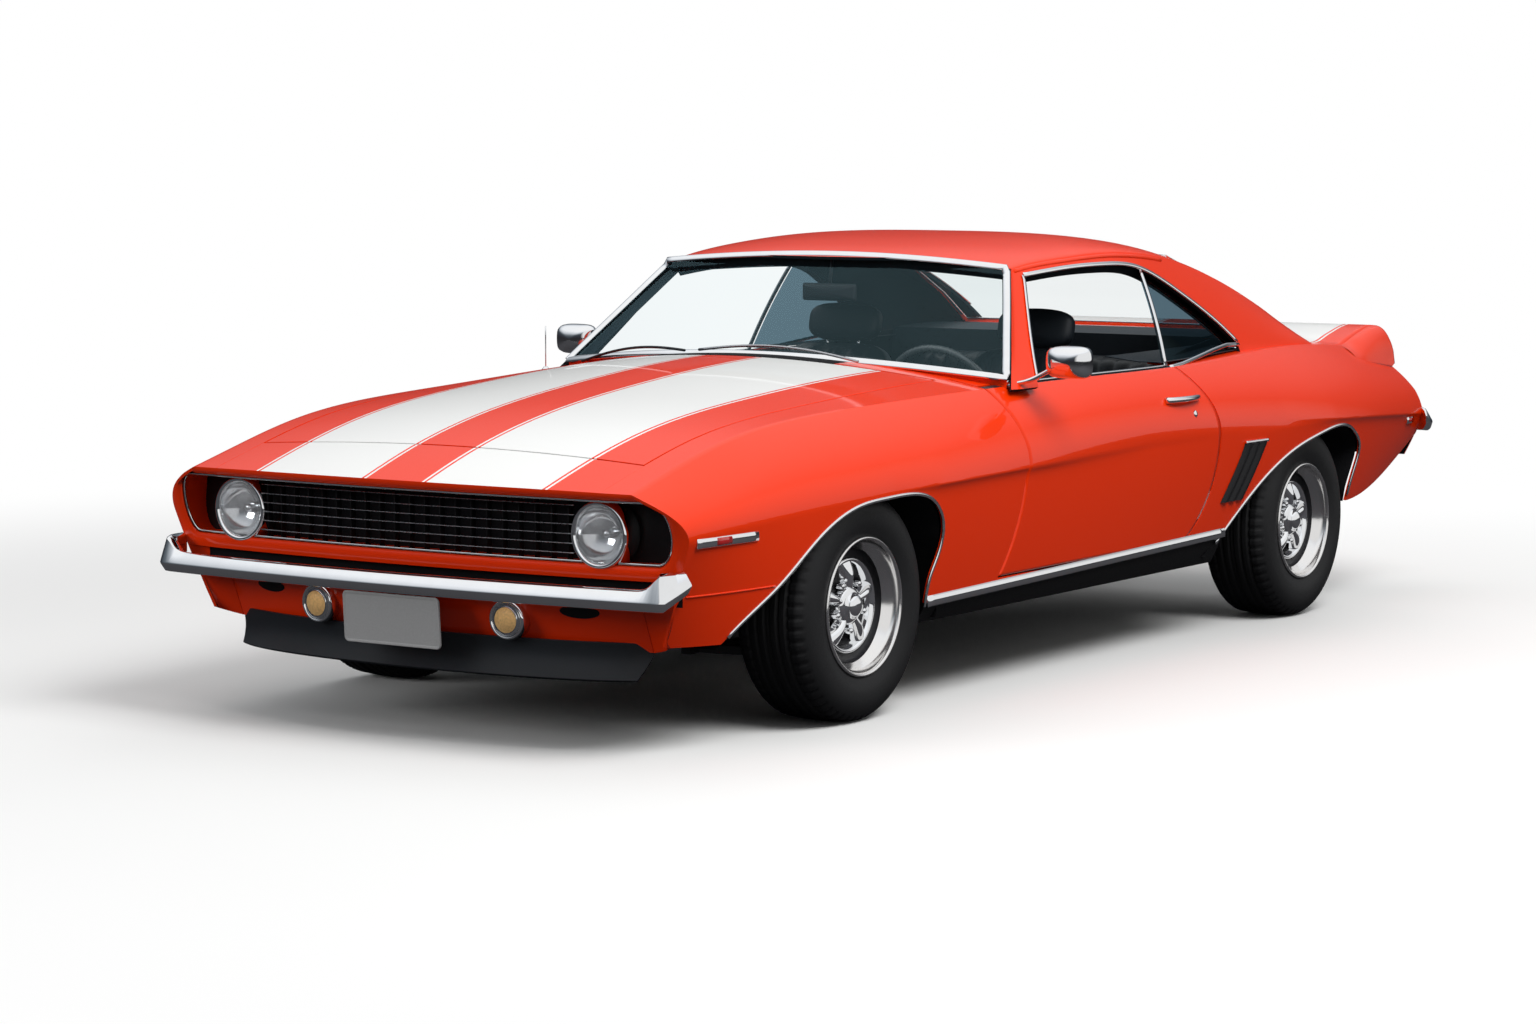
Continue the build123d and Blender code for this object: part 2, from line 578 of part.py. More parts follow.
def rim(x, y):
    """Deep-dished rim on the left: barrel with two lips, five spokes and a bored hub."""
    half = RIM_W / 2
    at = lambda u, r: (x + u, y, TYRE_R + r)
    seat = BEAD_R
    points = [(-half, DISH_R + 8), (-half, RIM_LIP_R), (-half + 7, RIM_LIP_R), (-half + 7.7, seat), (half - 7.7, seat),
              (half - 7, RIM_LIP_R), (half, RIM_LIP_R), (half + 2, RIM_LIP_R - 4), (half - 6, DISH_R + 2),
              (DISC_X + 24, DISH_R - 22), (DISC_X - 6, DISH_R - 22), (DISC_X - 20, DISH_R)]
    barrel = Solid.revolve(polygon(lambda u, r: at(u, r), points), 360, Axis((x, y, TYRE_R), (1, 0, 0)))
    hub = rod((x + DISC_X - 26, y, TYRE_R), (x + DISC_X + 44, y, TYRE_R), HUB_R)
    parts = [barrel, hub]
    for k in range(SPOKES):
        spoke = slab(x + DISC_X - 8, x + DISC_X + 18, -32, 32, HUB_R - 20, DISH_R - 10)
        parts.append(Pos(0, y, TYRE_R) * Rot(360 / SPOKES * k, 0, 0) * spoke)
    whole = joined(*parts)
    return whole - rod((x - 200, y, TYRE_R), (x + DISC_X + 30, y, TYRE_R), SPINDLE_R + RUNNING_GAP)


FRONT_X = FRONT_TRACK / 2
REAR_X = REAR_TRACK / 2
tyres = {"front": tyre_ring(FRONT_X, FRONT_AXLE_Y), "rear": tyre_ring(REAR_X, REAR_AXLE_Y)}
rims = {"front": rim(FRONT_X, FRONT_AXLE_Y), "rear": rim(REAR_X, REAR_AXLE_Y)}

# Knuckles and front subframe
PIN_R = 13.0
ARM_Z = (180.0, 460.0)
ARM_H = 22.0
DRUM_R = 124.0
spindle = rod((KINGPIN_X, FRONT_AXLE_Y, TYRE_R), (FRONT_X + DISC_X + 28, FRONT_AXLE_Y, TYRE_R), SPINDLE_R)
upright = slab(KINGPIN_X - 24, KINGPIN_X + 12, FRONT_AXLE_Y - 42, FRONT_AXLE_Y + 42, ARM_Z[0] + ARM_H, ARM_Z[1] - ARM_H)
drum = rod((KINGPIN_X + 8, FRONT_AXLE_Y, TYRE_R), (FRONT_X + DISC_X - 27, FRONT_AXLE_Y, TYRE_R), DRUM_R)
kingpin = rod((KINGPIN_X, FRONT_AXLE_Y, ARM_Z[0] - ARM_H / 2), (KINGPIN_X, FRONT_AXLE_Y, ARM_Z[1] + ARM_H / 2), PIN_R)
knuckle = joined(spindle, upright, drum, kingpin)
knuckle_left = knuckle
knuckle_right = flipped(knuckle)

RAIL_X = 400.0
RAIL_Y = (-2060.0, -620.0)
RAIL_Z = (228.0, 318.0)
frame_parts = []
for s in (-1, 1):
    x0, x1 = sorted((s * (RAIL_X - 38), s * (RAIL_X + 38)))
    frame_parts.append(slab(x0, x1, RAIL_Y[0], RAIL_Y[1], RAIL_Z[0], RAIL_Z[1]))
    tower = sorted((s * (RAIL_X - 20), s * (RAIL_X + 45)))
    frame_parts.append(slab(*tower, FRONT_AXLE_Y - 60, FRONT_AXLE_Y + 60, RAIL_Z[0], ARM_Z[1] + 20))
    for z, wide in ((ARM_Z[0], 110), (ARM_Z[1], 60)):
        arm = polygon(plan(z - ARM_H / 2), [(s * (RAIL_X - 30), FRONT_AXLE_Y - wide), (s * KINGPIN_X, FRONT_AXLE_Y - 24),
                                            (s * KINGPIN_X, FRONT_AXLE_Y + 24), (s * (RAIL_X - 30), FRONT_AXLE_Y + wide)])
        frame_parts.append(prism(arm, 0, 0, ARM_H))
        frame_parts.append(rod((s * KINGPIN_X, FRONT_AXLE_Y, z - ARM_H / 2), (s * KINGPIN_X, FRONT_AXLE_Y, z + ARM_H / 2), 26))
    post = sorted((s * (RAIL_X - 38), s * (RAIL_X - 8)))
    frame_parts.append(slab(*post, FRONT_AXLE_Y - 150, FRONT_AXLE_Y + 150, ARM_Z[0] - ARM_H / 2, RAIL_Z[0] + 10))
frame_parts.append(slab(-RAIL_X, RAIL_X, FRONT_AXLE_Y - 70, FRONT_AXLE_Y + 70, RAIL_Z[0], RAIL_Z[0] + 50))
frame_parts.append(slab(-RAIL_X, RAIL_X, RAIL_Y[0], RAIL_Y[0] + 60, RAIL_Z[0], RAIL_Z[1]))
front_subframe = joined(*frame_parts)
for s in (-1, 1):
    front_subframe = front_subframe - rod((s * KINGPIN_X, FRONT_AXLE_Y, 0), (s * KINGPIN_X, FRONT_AXLE_Y, 700),
                                          PIN_R + RUNNING_GAP)

# Rear axle with leaf springs
SPRING_X = 545.0
SPRING_Y = 590.0
tube = rod((-REAR_X - DISC_X - 28, REAR_AXLE_Y, TYRE_R), (REAR_X + DISC_X + 28, REAR_AXLE_Y, TYRE_R), SPINDLE_R)
casing = rod((-640, REAR_AXLE_Y, TYRE_R), (640, REAR_AXLE_Y, TYRE_R), 40)
pumpkin = rod((-75, REAR_AXLE_Y, TYRE_R), (75, REAR_AXLE_Y, TYRE_R), 118)
drums = [rod((s * 640, REAR_AXLE_Y, TYRE_R), (s * (REAR_X + DISC_X - 27), REAR_AXLE_Y, TYRE_R), DRUM_R) for s in (-1, 1)]
SPRING_END_Z = 372.0
SPRING_EYE = 22.0
springs = []
for s in (-1, 1):
    x = s * SPRING_X - 32
    y0, y1 = REAR_AXLE_Y - SPRING_Y, REAR_AXLE_Y + SPRING_Y
    top = bow((x, y0, SPRING_END_Z), (x, REAR_AXLE_Y, 290), (x, y1, SPRING_END_Z))
    low = bow((x, y0, SPRING_END_Z - SPRING_EYE), (x, REAR_AXLE_Y, 258), (x, y1, SPRING_END_Z - SPRING_EYE))
    springs.append(prism(face(top, line(top @ 1, low @ 1), low, line(low @ 0, top @ 0)), 64, 0, 0))
rear_axle = joined(tube, casing, pumpkin, *drums, *springs)

# Floor pan with firewall, tunnel, seat step and trunk floor
FLOOR_Z = 262.0
FLOOR_T = 24.0
BACK_Z = 520.0
FIREWALL_Y = -600.0
HEEL_Y = 690.0
HEEL_Z = 400.0
STEP_Y = 1000.0
WALL_T = 20.0
TUNNEL = (120.0, FLOOR_Z + 130.0)
floor_parts = [
    slab(-SILL_X, SILL_X, FIREWALL_Y - WALL_T, DOOR_REAR[2][0], FLOOR_Z, FLOOR_Z + FLOOR_T),
    slab(-QUARTER_INNER_X, QUARTER_INNER_X, DOOR_REAR[2][0] - 1, HEEL_Y, FLOOR_Z, FLOOR_Z + FLOOR_T),
    slab(-FENDER_X, FENDER_X, FIREWALL_Y - WALL_T, FIREWALL_Y, FLOOR_Z, 770),
    slab(-QUARTER_INNER_X, QUARTER_INNER_X, HEEL_Y - WALL_T, HEEL_Y, FLOOR_Z, HEEL_Z + FLOOR_T),
    slab(-QUARTER_INNER_X, QUARTER_INNER_X, HEEL_Y - WALL_T, STEP_Y, HEEL_Z, HEEL_Z + FLOOR_T),
    slab(-QUARTER_INNER_X, QUARTER_INNER_X, STEP_Y - WALL_T, STEP_Y, HEEL_Z, BACK_Z + FLOOR_T),
    slab(-QUARTER_INNER_X, QUARTER_INNER_X, STEP_Y - WALL_T, LID_REAR_Y + 20, BACK_Z, BACK_Z + FLOOR_T),
    slab(-TUNNEL[0], TUNNEL[0], FIREWALL_Y - WALL_T, HEEL_Y, FLOOR_Z, TUNNEL[1]),
]
for s in (-1, 1):
    for y, top in ((REAR_AXLE_Y - SPRING_Y, HEEL_Z), (REAR_AXLE_Y + SPRING_Y, BACK_Z)):
        x = s * SPRING_X
        floor_parts.append(slab(x - 30, x + 30, y - 14, y + 14, SPRING_END_Z + SEAT_GAP, top + 1))
bore_x, bore_z = TUNNEL[0] - 22, TUNNEL[1] - 22
floor_pan = joined(*floor_parts) - slab(-bore_x, bore_x, -2000, HEEL_Y + 1, FLOOR_Z - 10, bore_z)

# Engine and gearbox as one block, driveshaft, tank, exhaust
engine = joined(slab(-230, 230, -1640, -930, 330, 700), slab(-120, 120, -1600, -960, 700, 762),
                slab(-RAIL_X + 10, RAIL_X - 10, -1300, -1260, RAIL_Z[1], 380), slab(-90, 90, -930, -420, 300, 365),
                slab(-90, 90, -1560, -1000, RAIL_Z[0] + 50, 330))
driveshaft = rod((0, -419.5, 328), (0, REAR_AXLE_Y - 118, TYRE_R), 34)
TANK_Z = 330.0
fuel_tank = slab(-400, 400, 1720, 2140, TANK_Z, BACK_Z)
exhaust_parts = []
for s in (-1, 1):
    x = s * 270.0
    exhaust_parts.append(rod((x, -980, 222), (x, 380, 222), 26))
    exhaust_parts.append(slab(x - 90, x + 90, 60, 560, 190, FLOOR_Z))
    bend = (x, 1560, 238)
    exhaust_parts.append(rod((x, 540, 226), bend, 20))
    exhaust_parts.append(rod(bend, (s * 330, 2330, 296), 20))
    exhaust_parts.append(Pos(*bend) * Sphere(20))
exhaust = group(*[s for s in joined(*exhaust_parts).solids()])

# Cabin
dash = joined(slab(-FENDER_X, FENDER_X, FIREWALL_Y, -380, 620, 800), slab(300, 420, -460, -330, 560, 720))
WHEEL_C = (360.0, -215.0, 740.0)
COLUMN_TILT = 22.0
SW_R = 185.0
axis_dir = Vector(0, math.cos(math.radians(COLUMN_TILT)), math.sin(math.radians(COLUMN_TILT)))
hub_c = Vector(*WHEEL_C)
shaft_end = hub_c - axis_dir * 110
column_end = hub_c - axis_dir * 330
column = rod(tuple(column_end), tuple(hub_c - axis_dir * 40), 30) - rod(tuple(shaft_end), tuple(hub_c), 11 + RUNNING_GAP)
dashboard = joined(dash - rod(tuple(shaft_end), tuple(hub_c), 11 + RUNNING_GAP), column)
dashboard = dashboard - rod(tuple(shaft_end), tuple(hub_c), 11 + RUNNING_GAP)
wheel_plane = Plane(hub_c, x_dir=(1, 0, 0), z_dir=axis_dir)
hoop = wheel_plane * Torus(SW_R, 13)
sw_spokes = [wheel_plane * Rot(0, 0, a) * Pos(SW_R / 2, 0, -4) * Box(SW_R, 26, 8) for a in (10, 170, 270)]
steering_wheel = joined(hoop, *sw_spokes, rod(tuple(hub_c - axis_dir * 30), tuple(hub_c + axis_dir * 12), 42),
                        rod(tuple(shaft_end), tuple(hub_c), 11))

SEAT_X = 360.0
SEAT_W = 470.0
FLOOR_TOP = FLOOR_Z + FLOOR_T


def side_block(points, x0, x1):
    """Block with one side outline."""
    return prism(polygon(side(x0), points), x1 - x0, 0, 0)


seat = joined(
    side_block([(-180, FLOOR_TOP), (330, FLOOR_TOP), (330, 430), (300, 470), (-170, 500), (-190, 430)],
               SEAT_X - SEAT_W / 2, SEAT_X + SEAT_W / 2),
    side_block([(230, 440), (330, 430), (470, 920), (430, 945), (370, 930)], SEAT_X - SEAT_W / 2, SEAT_X + SEAT_W / 2),
    side_block([(385, 915), (460, 915), (482, 1050), (425, 1058)], SEAT_X - 150, SEAT_X + 150),
)
front_seats = both(seat)
REAR_SEAT_HALF = QUARTER_INNER_X - 12
HEEL_TOP = HEEL_Z + FLOOR_T
REST_TOP = BACK_Z + FLOOR_T
rear_seat = joined(
    side_block([(600, FLOOR_TOP), (HEEL_Y - WALL_T, FLOOR_TOP), (HEEL_Y - WALL_T, 470), (600, 470)],
               TUNNEL[0], REAR_SEAT_HALF),
    side_block([(600, FLOOR_TOP), (HEEL_Y - WALL_T, FLOOR_TOP), (HEEL_Y - WALL_T, 470), (600, 470)],
               -REAR_SEAT_HALF, -TUNNEL[0]),
    side_block([(592, 440), (STEP_Y - WALL_T, 440), (STEP_Y - WALL_T, 520), (620, 535), (592, 480)],
               -REAR_SEAT_HALF, REAR_SEAT_HALF),
    side_block([(HEEL_Y - WALL_T, HEEL_TOP), (STEP_Y - WALL_T, HEEL_TOP), (STEP_Y - WALL_T, 450),
                (HEEL_Y - WALL_T, 450)], -REAR_SEAT_HALF, REAR_SEAT_HALF),
    side_block([(900, REST_TOP), (1130, REST_TOP), (1230, 845), (1140, 860), (1050, 850)],
               -REAR_SEAT_HALF, REAR_SEAT_HALF),
    side_block([(900, 500), (STEP_Y - WALL_T, 500), (STEP_Y - WALL_T, REST_TOP), (900, REST_TOP)],
               -REAR_SEAT_HALF, REAR_SEAT_HALF),
)
cabin_mirror = joined(slab(-95, 95, -228, -212, 1090, 1142), rod((0, -218, 1140), (0, -218, 1215), 5)) - roof_shell
cabin_mirror = group(max(cabin_mirror.solids(), key=lambda s: s.volume))

# Door mirrors and handles
MIRROR_Y = (-455.0, -240.0)
HANDLE = slab(880, 935, 330, 540, 764, 792) - BODY


def door_mirror(y):
    """Mirror head of the left door on a slanted stem."""
    return joined(slab(905, 1010, y - 25, y + 25, 895, 985), rod((955, y, 905), (790, y, 836), 9)) - BODY



NODES = {
    "floor_pan": floor_pan,
    "front_subframe": front_subframe,
    "front_fenders": front_fenders,
    "nose_panel": nose_panel,
    "front_valance": front_valance,
    "chin_spoiler": chin_spoiler,
    "cowl_panel": cowl_panel,
    "rocker_panels": rocker_panels,
    "quarter_panels": quarter_panels,
    "tail_panel": tail_panel,
    "deck_filler": deck_filler,
    "roof_shell": roof_shell,
    "windshield": windshield,
    "rear_window": rear_window,
    "quarter_windows": quarter_windows,
    "hood": hood,
    "trunk_lid": trunk_lid,
    "door_left": door_left,
    "door_right": door_right,
    "front_bumper": front_bumper,
    "rear_bumper": rear_bumper,
    "grille": grille,
    "headlamps": headlamps,
    "parking_lamps": parking_lamps,
    "tail_lamps": tail_lamps,
    "number_plate": number_plate,
    "knuckle_left": knuckle_left,
    "knuckle_right": knuckle_right,
    "rear_axle": rear_axle,
    "engine": engine,
    "driveshaft": driveshaft,
    "fuel_tank": fuel_tank,
    "exhaust": exhaust,
    "dashboard": dashboard,
    "steering_wheel": steering_wheel,
    "front_seats": front_seats,
    "rear_seat": rear_seat,
    "cabin_mirror": cabin_mirror,
    "door_fittings_left": group(door_mirror(MIRROR_Y[0]), HANDLE),
    "door_fittings_right": flipped(group(door_mirror(MIRROR_Y[1]), HANDLE)),
}
for place in ("front", "rear"):
    NODES[f"tyre_{place}_left"] = tyres[place]
    NODES[f"tyre_{place}_right"] = flipped(tyres[place])
    NODES[f"rim_{place}_left"] = rims[place]
    NODES[f"rim_{place}_right"] = flipped(rims[place])

os.makedirs("parts", exist_ok=True)
for name, shape in NODES.items():
    export_step(group(shape), f"parts/{name}.step")
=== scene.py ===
import math

import bmesh
import bpy
import numpy as np
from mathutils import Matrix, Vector


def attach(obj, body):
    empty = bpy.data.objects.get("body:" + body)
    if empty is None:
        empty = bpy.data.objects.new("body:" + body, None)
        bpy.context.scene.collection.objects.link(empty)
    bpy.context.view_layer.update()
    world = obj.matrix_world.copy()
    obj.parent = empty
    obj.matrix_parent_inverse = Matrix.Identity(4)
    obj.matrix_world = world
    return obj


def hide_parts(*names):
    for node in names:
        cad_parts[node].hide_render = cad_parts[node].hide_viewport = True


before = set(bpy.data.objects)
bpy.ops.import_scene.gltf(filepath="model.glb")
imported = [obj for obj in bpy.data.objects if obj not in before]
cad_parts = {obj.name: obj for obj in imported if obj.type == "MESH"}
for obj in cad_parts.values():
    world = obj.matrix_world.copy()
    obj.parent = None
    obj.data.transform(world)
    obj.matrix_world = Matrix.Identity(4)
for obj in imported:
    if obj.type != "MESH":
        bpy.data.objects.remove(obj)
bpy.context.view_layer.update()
scene = bpy.context.scene
scene.view_settings.view_transform = "Standard"


# Studio. A pale floor that goes on to the horizon, soft boxes overhead and a dim sky that is brighter above.
# The camera stands where the photographer stood: low, ahead of the left front wheel.
AZIMUTH, ELEVATION, DISTANCE = math.radians(33.55), math.radians(5.78), 11.395
TARGET = Vector((0.0, -0.565, 0.461))
FLOOR_HALF = 60.0
back = Vector((math.sin(AZIMUTH) * math.cos(ELEVATION), -math.cos(AZIMUTH) * math.cos(ELEVATION),
               math.sin(ELEVATION)))
camera = bpy.data.objects.new("camera", bpy.data.cameras.new("camera"))
camera.data.lens, camera.data.sensor_width, camera.data.clip_end = 88.0, 36.0, 200.0
camera.location = TARGET + back * DISTANCE
camera.rotation_mode = "QUATERNION"
camera.rotation_quaternion = (-back).to_track_quat("-Z", "Y")
scene.collection.objects.link(camera)
scene.camera = camera


def finish(name, colour, rough, metal=0.0, coat=0.0, spec=0.5, scale=40.0, waver=0.0, tone=0.0, relief=0.0):
    """Finish of one colour and roughness, with an optional clear coat. A noise of one scale in the piece's
    own space makes the roughness and the colour waver by the given shares and raises the surface by relief
    metres."""
    made = bpy.data.materials.new(name)
    made.use_nodes = True
    tree = made.node_tree
    shader = tree.nodes["Principled BSDF"]
    shader.inputs["Base Color"].default_value = (*colour, 1)
    shader.inputs["Roughness"].default_value = rough
    shader.inputs["Metallic"].default_value = metal
    shader.inputs["Coat Weight"].default_value = coat
    shader.inputs["Coat Roughness"].default_value = 0.03
    shader.inputs["Specular IOR Level"].default_value = spec
    if waver or tone or relief:
        where = tree.nodes.new("ShaderNodeTexCoord")
        noise = tree.nodes.new("ShaderNodeTexNoise")
        noise.inputs["Scale"].default_value = scale
        noise.inputs["Detail"].default_value = 3.0
        tree.links.new(where.outputs["Object"], noise.inputs["Vector"])
    if waver:
        dull_to_bright = [(0.3, rough * (1 - waver)), (0.7, rough * (1 + waver))]
        tree.links.new(ramp_node(tree, dull_to_bright, noise.outputs[0]), shader.inputs["Roughness"])
    if tone:
        dark_to_light = [(0.3, tuple(c * (1 - tone) for c in colour)),
                         (0.7, tuple(c * (1 + tone) for c in colour))]
        tree.links.new(ramp_node(tree, dark_to_light, noise.outputs[0]), shader.inputs["Base Color"])
    if relief:
        bump = tree.nodes.new("ShaderNodeBump")
        bump.inputs["Distance"].default_value = relief
        tree.links.new(noise.outputs[0], bump.inputs["Height"])
        tree.links.new(bump.outputs[0], shader.inputs["Normal"])
    return made


def ramp_node(tree, stops, source, smooth="LINEAR"):
    """Colour ramp fed by a socket: stops are place and grey level or colour."""
    ramp = tree.nodes.new("ShaderNodeValToRGB")
    row = ramp.color_ramp
    row.interpolation = smooth
    row.elements.remove(row.elements[1])
    for i, (place, tone) in enumerate(stops):
        stop = row.elements[0] if i == 0 else row.elements.new(place)
        stop.position = place
        stop.color = (*tone, 1) if isinstance(tone, tuple) else (tone, tone, tone, 1)
    tree.links.new(source, ramp.inputs[0])
    return ramp.outputs[0]


floor_mesh = bpy.data.meshes.new("floor")
floor_corners = [(x * FLOOR_HALF, y * FLOOR_HALF, 0) for x, y in ((-1, -1), (1, -1), (1, 1), (-1, 1))]
floor_mesh.from_pydata(floor_corners, [], [(0, 1, 2, 3)])
floor = bpy.data.objects.new("floor", floor_mesh)
scene.collection.objects.link(floor)
pale = finish("pale_floor", (0.86, 0.86, 0.85), 0.7, spec=0.1)
tree = pale.node_tree
place = tree.nodes.new("ShaderNodeTexCoord")
away = tree.nodes.new("ShaderNodeVectorMath")
away.operation = "LENGTH"
tree.links.new(place.outputs["Object"], away.inputs[0])
reach = tree.nodes.new("ShaderNodeMath")
reach.operation = "DIVIDE"
reach.inputs[1].default_value = 10.0
tree.links.new(away.outputs["Value"], reach.inputs[0])
far = ramp_node(tree, [(0.24, 0.0), (0.62, 1.0)], reach.outputs[0], "EASE")
rays = tree.nodes.new("ShaderNodeLightPath")
both = tree.nodes.new("ShaderNodeMath")
both.operation = "MULTIPLY"
tree.links.new(far, both.inputs[0])
tree.links.new(rays.outputs["Is Camera Ray"], both.inputs[1])
glow = tree.nodes.new("ShaderNodeEmission")
glow.inputs["Color"].default_value = (1, 1, 1, 1)
dull = tree.nodes.new("ShaderNodeBsdfDiffuse")
dull.inputs["Color"].default_value = (0.06, 0.06, 0.065, 1)
seen = tree.nodes.new("ShaderNodeMixShader")
fade = tree.nodes.new("ShaderNodeMixShader")
tree.links.new(rays.outputs["Is Camera Ray"], seen.inputs[0])
tree.links.new(dull.outputs[0], seen.inputs[1])
tree.links.new(tree.nodes["Principled BSDF"].outputs[0], seen.inputs[2])
tree.links.new(both.outputs[0], fade.inputs[0])
tree.links.new(seen.outputs[0], fade.inputs[1])
tree.links.new(glow.outputs[0], fade.inputs[2])
tree.links.new(fade.outputs[0], tree.nodes["Material Output"].inputs["Surface"])
floor_mesh.materials.append(pale)

world = bpy.data.worlds.new("studio")
scene.world = world
world.use_nodes = True
tree = world.node_tree
look = tree.nodes.new("ShaderNodeTexCoord")
split = tree.nodes.new("ShaderNodeSeparateXYZ")
tree.links.new(look.outputs["Generated"], split.inputs[0])
height = ramp_node(tree, [(0.0, (0.03, 0.03, 0.04)), (0.16, (0.05, 0.06, 0.07)), (0.30, (0.13, 0.15, 0.17)),
                          (0.48, (0.55, 0.58, 0.62)), (0.70, (0.95, 0.97, 1.0)), (0.90, (1.0, 1.0, 1.0))],
                   split.outputs["Z"])
card = ramp_node(tree, [(0.20, 0.0), (0.50, 0.85)], split.outputs["X"], "EASE")
lighter = tree.nodes.new("ShaderNodeMixRGB")
lighter.blend_type = "LIGHTEN"
lighter.inputs[0].default_value = 1.0
tree.links.new(height, lighter.inputs[1])
tree.links.new(card, lighter.inputs[2])
rays = tree.nodes.new("ShaderNodeLightPath")
level = tree.nodes.new("ShaderNodeMath")
level.operation = "MULTIPLY_ADD"
level.inputs[1].default_value = 0.52
level.inputs[2].default_value = 0.48
tree.links.new(rays.outputs["Is Glossy Ray"], level.inputs[0])
sky = tree.nodes["Background"]
tree.links.new(lighter.outputs[0], sky.inputs["Color"])
tree.links.new(level.outputs[0], sky.inputs["Strength"])
white = tree.nodes.new("ShaderNodeBackground")
white.inputs["Color"].default_value = (1, 1, 1, 1)
choose = tree.nodes.new("ShaderNodeMixShader")
tree.links.new(rays.outputs["Is Camera Ray"], choose.inputs[0])
tree.links.new(sky.outputs[0], choose.inputs[1])
tree.links.new(white.outputs[0], choose.inputs[2])
tree.links.new(choose.outputs[0], tree.nodes["World Output"].inputs["Surface"])

# Each soft box: name, place, aim, width, height, watts
for name, place, aim, wide, high, watts in (
        ("key_box", (5.4, -2.2, 6.8), (0, 0.0, 0.5), 5.0, 4.0, 590),
        ("top_box", (-1.5, 1.5, 6.5), (0, 0, 0.5), 7.0, 4.0, 50),
        ("front_box", (-4.5, -9.0, 3.2), (0, -1.5, 0.5), 4.0, 2.5, 230),
        ("back_box", (-2.5, 8.5, 3.6), (0, 2.0, 0.6), 4.5, 3.0, 280)):
    lamp = bpy.data.objects.new(name, bpy.data.lights.new(name, "AREA"))
    lamp.data.shape, lamp.data.size, lamp.data.size_y, lamp.data.energy = "RECTANGLE", wide, high, watts
    lamp.location = place
    lamp.rotation_mode = "QUATERNION"
    lamp.rotation_quaternion = (Vector(aim) - Vector(place)).to_track_quat("-Z", "Y")
    lamp.visible_glossy = False
    scene.collection.objects.link(lamp)


# Body paint. Orange-red enamel under a hard clear coat; two white stripes run over hood, header and trunk
# lid, each with a thin red and a thin white line along its edges, laid on by distance from the centre line.
RED = (0.86, 0.036, 0.0006)
WHITE = (0.86, 0.86, 0.84)
paint = finish("orange_red_enamel", RED, 0.38, coat=0.48, spec=0.12, scale=700.0, waver=0.2, tone=0.02)
# This black is underseal on the underbody, the wheel houses and the panels' inner sides. It is also painted
# shade where it fills the gap behind the front bumper and the cavity at the cowl.
shade = finish("underseal_and_painted_shade", (0.008, 0.008, 0.009), 0.8, spec=0.2, scale=220.0, waver=0.15, tone=0.3,
               relief=0.0006)


def striped_enamel(name, inner, outer):
    """Enamel with a white band between two distances from the centre line and a thin line beyond each
    edge."""
    made = finish(name, RED, 0.38, coat=0.48, spec=0.12, scale=700.0, waver=0.2)
    tree = made.node_tree
    place = tree.nodes.new("ShaderNodeTexCoord")
    split = tree.nodes.new("ShaderNodeSeparateXYZ")
    off_centre = tree.nodes.new("ShaderNodeMath")
    off_centre.operation = "ABSOLUTE"
    tree.links.new(place.outputs["Object"], split.inputs[0])
    tree.links.new(split.outputs["X"], off_centre.inputs[0])
    stops = [(0, RED), (inner - 0.018, WHITE), (inner - 0.010, RED), (inner, WHITE), (outer, RED),
             (outer + 0.010, WHITE), (outer + 0.018, RED)]
    tree.links.new(ramp_node(tree, stops, off_centre.outputs[0], "CONSTANT"),
                   tree.nodes["Principled BSDF"].inputs["Base Color"])
    return made


striped = striped_enamel("striped_enamel", 0.108, 0.474)


def through(knots, values):
    """Natural cubic spline through points, as a function of arrays: second slopes from one linear system."""
    k, v = np.asarray(knots, float), np.asarray(values, float)
    n, h = len(k), np.diff(k)
    a, b = np.eye(n), np.zeros(n)
    for i in range(1, n - 1):
        a[i, i - 1:i + 2] = h[i - 1], 2 * (h[i - 1] + h[i]), h[i]
        b[i] = 6 * ((v[i + 1] - v[i]) / h[i] - (v[i] - v[i - 1]) / h[i - 1])
    m = np.linalg.solve(a, b)

    def curve(t):
        t = np.asarray(t, float)
        i = np.clip(np.searchsorted(k, t) - 1, 0, n - 2)
        d, e, w = t - k[i], k[i + 1] - t, h[i]
        bend = (m[i] * e**3 + m[i + 1] * d**3) / (6 * w)
        return bend + (v[i] / w - m[i] * w / 6) * e + (v[i + 1] / w - m[i + 1] * w / 6) * d

    return curve


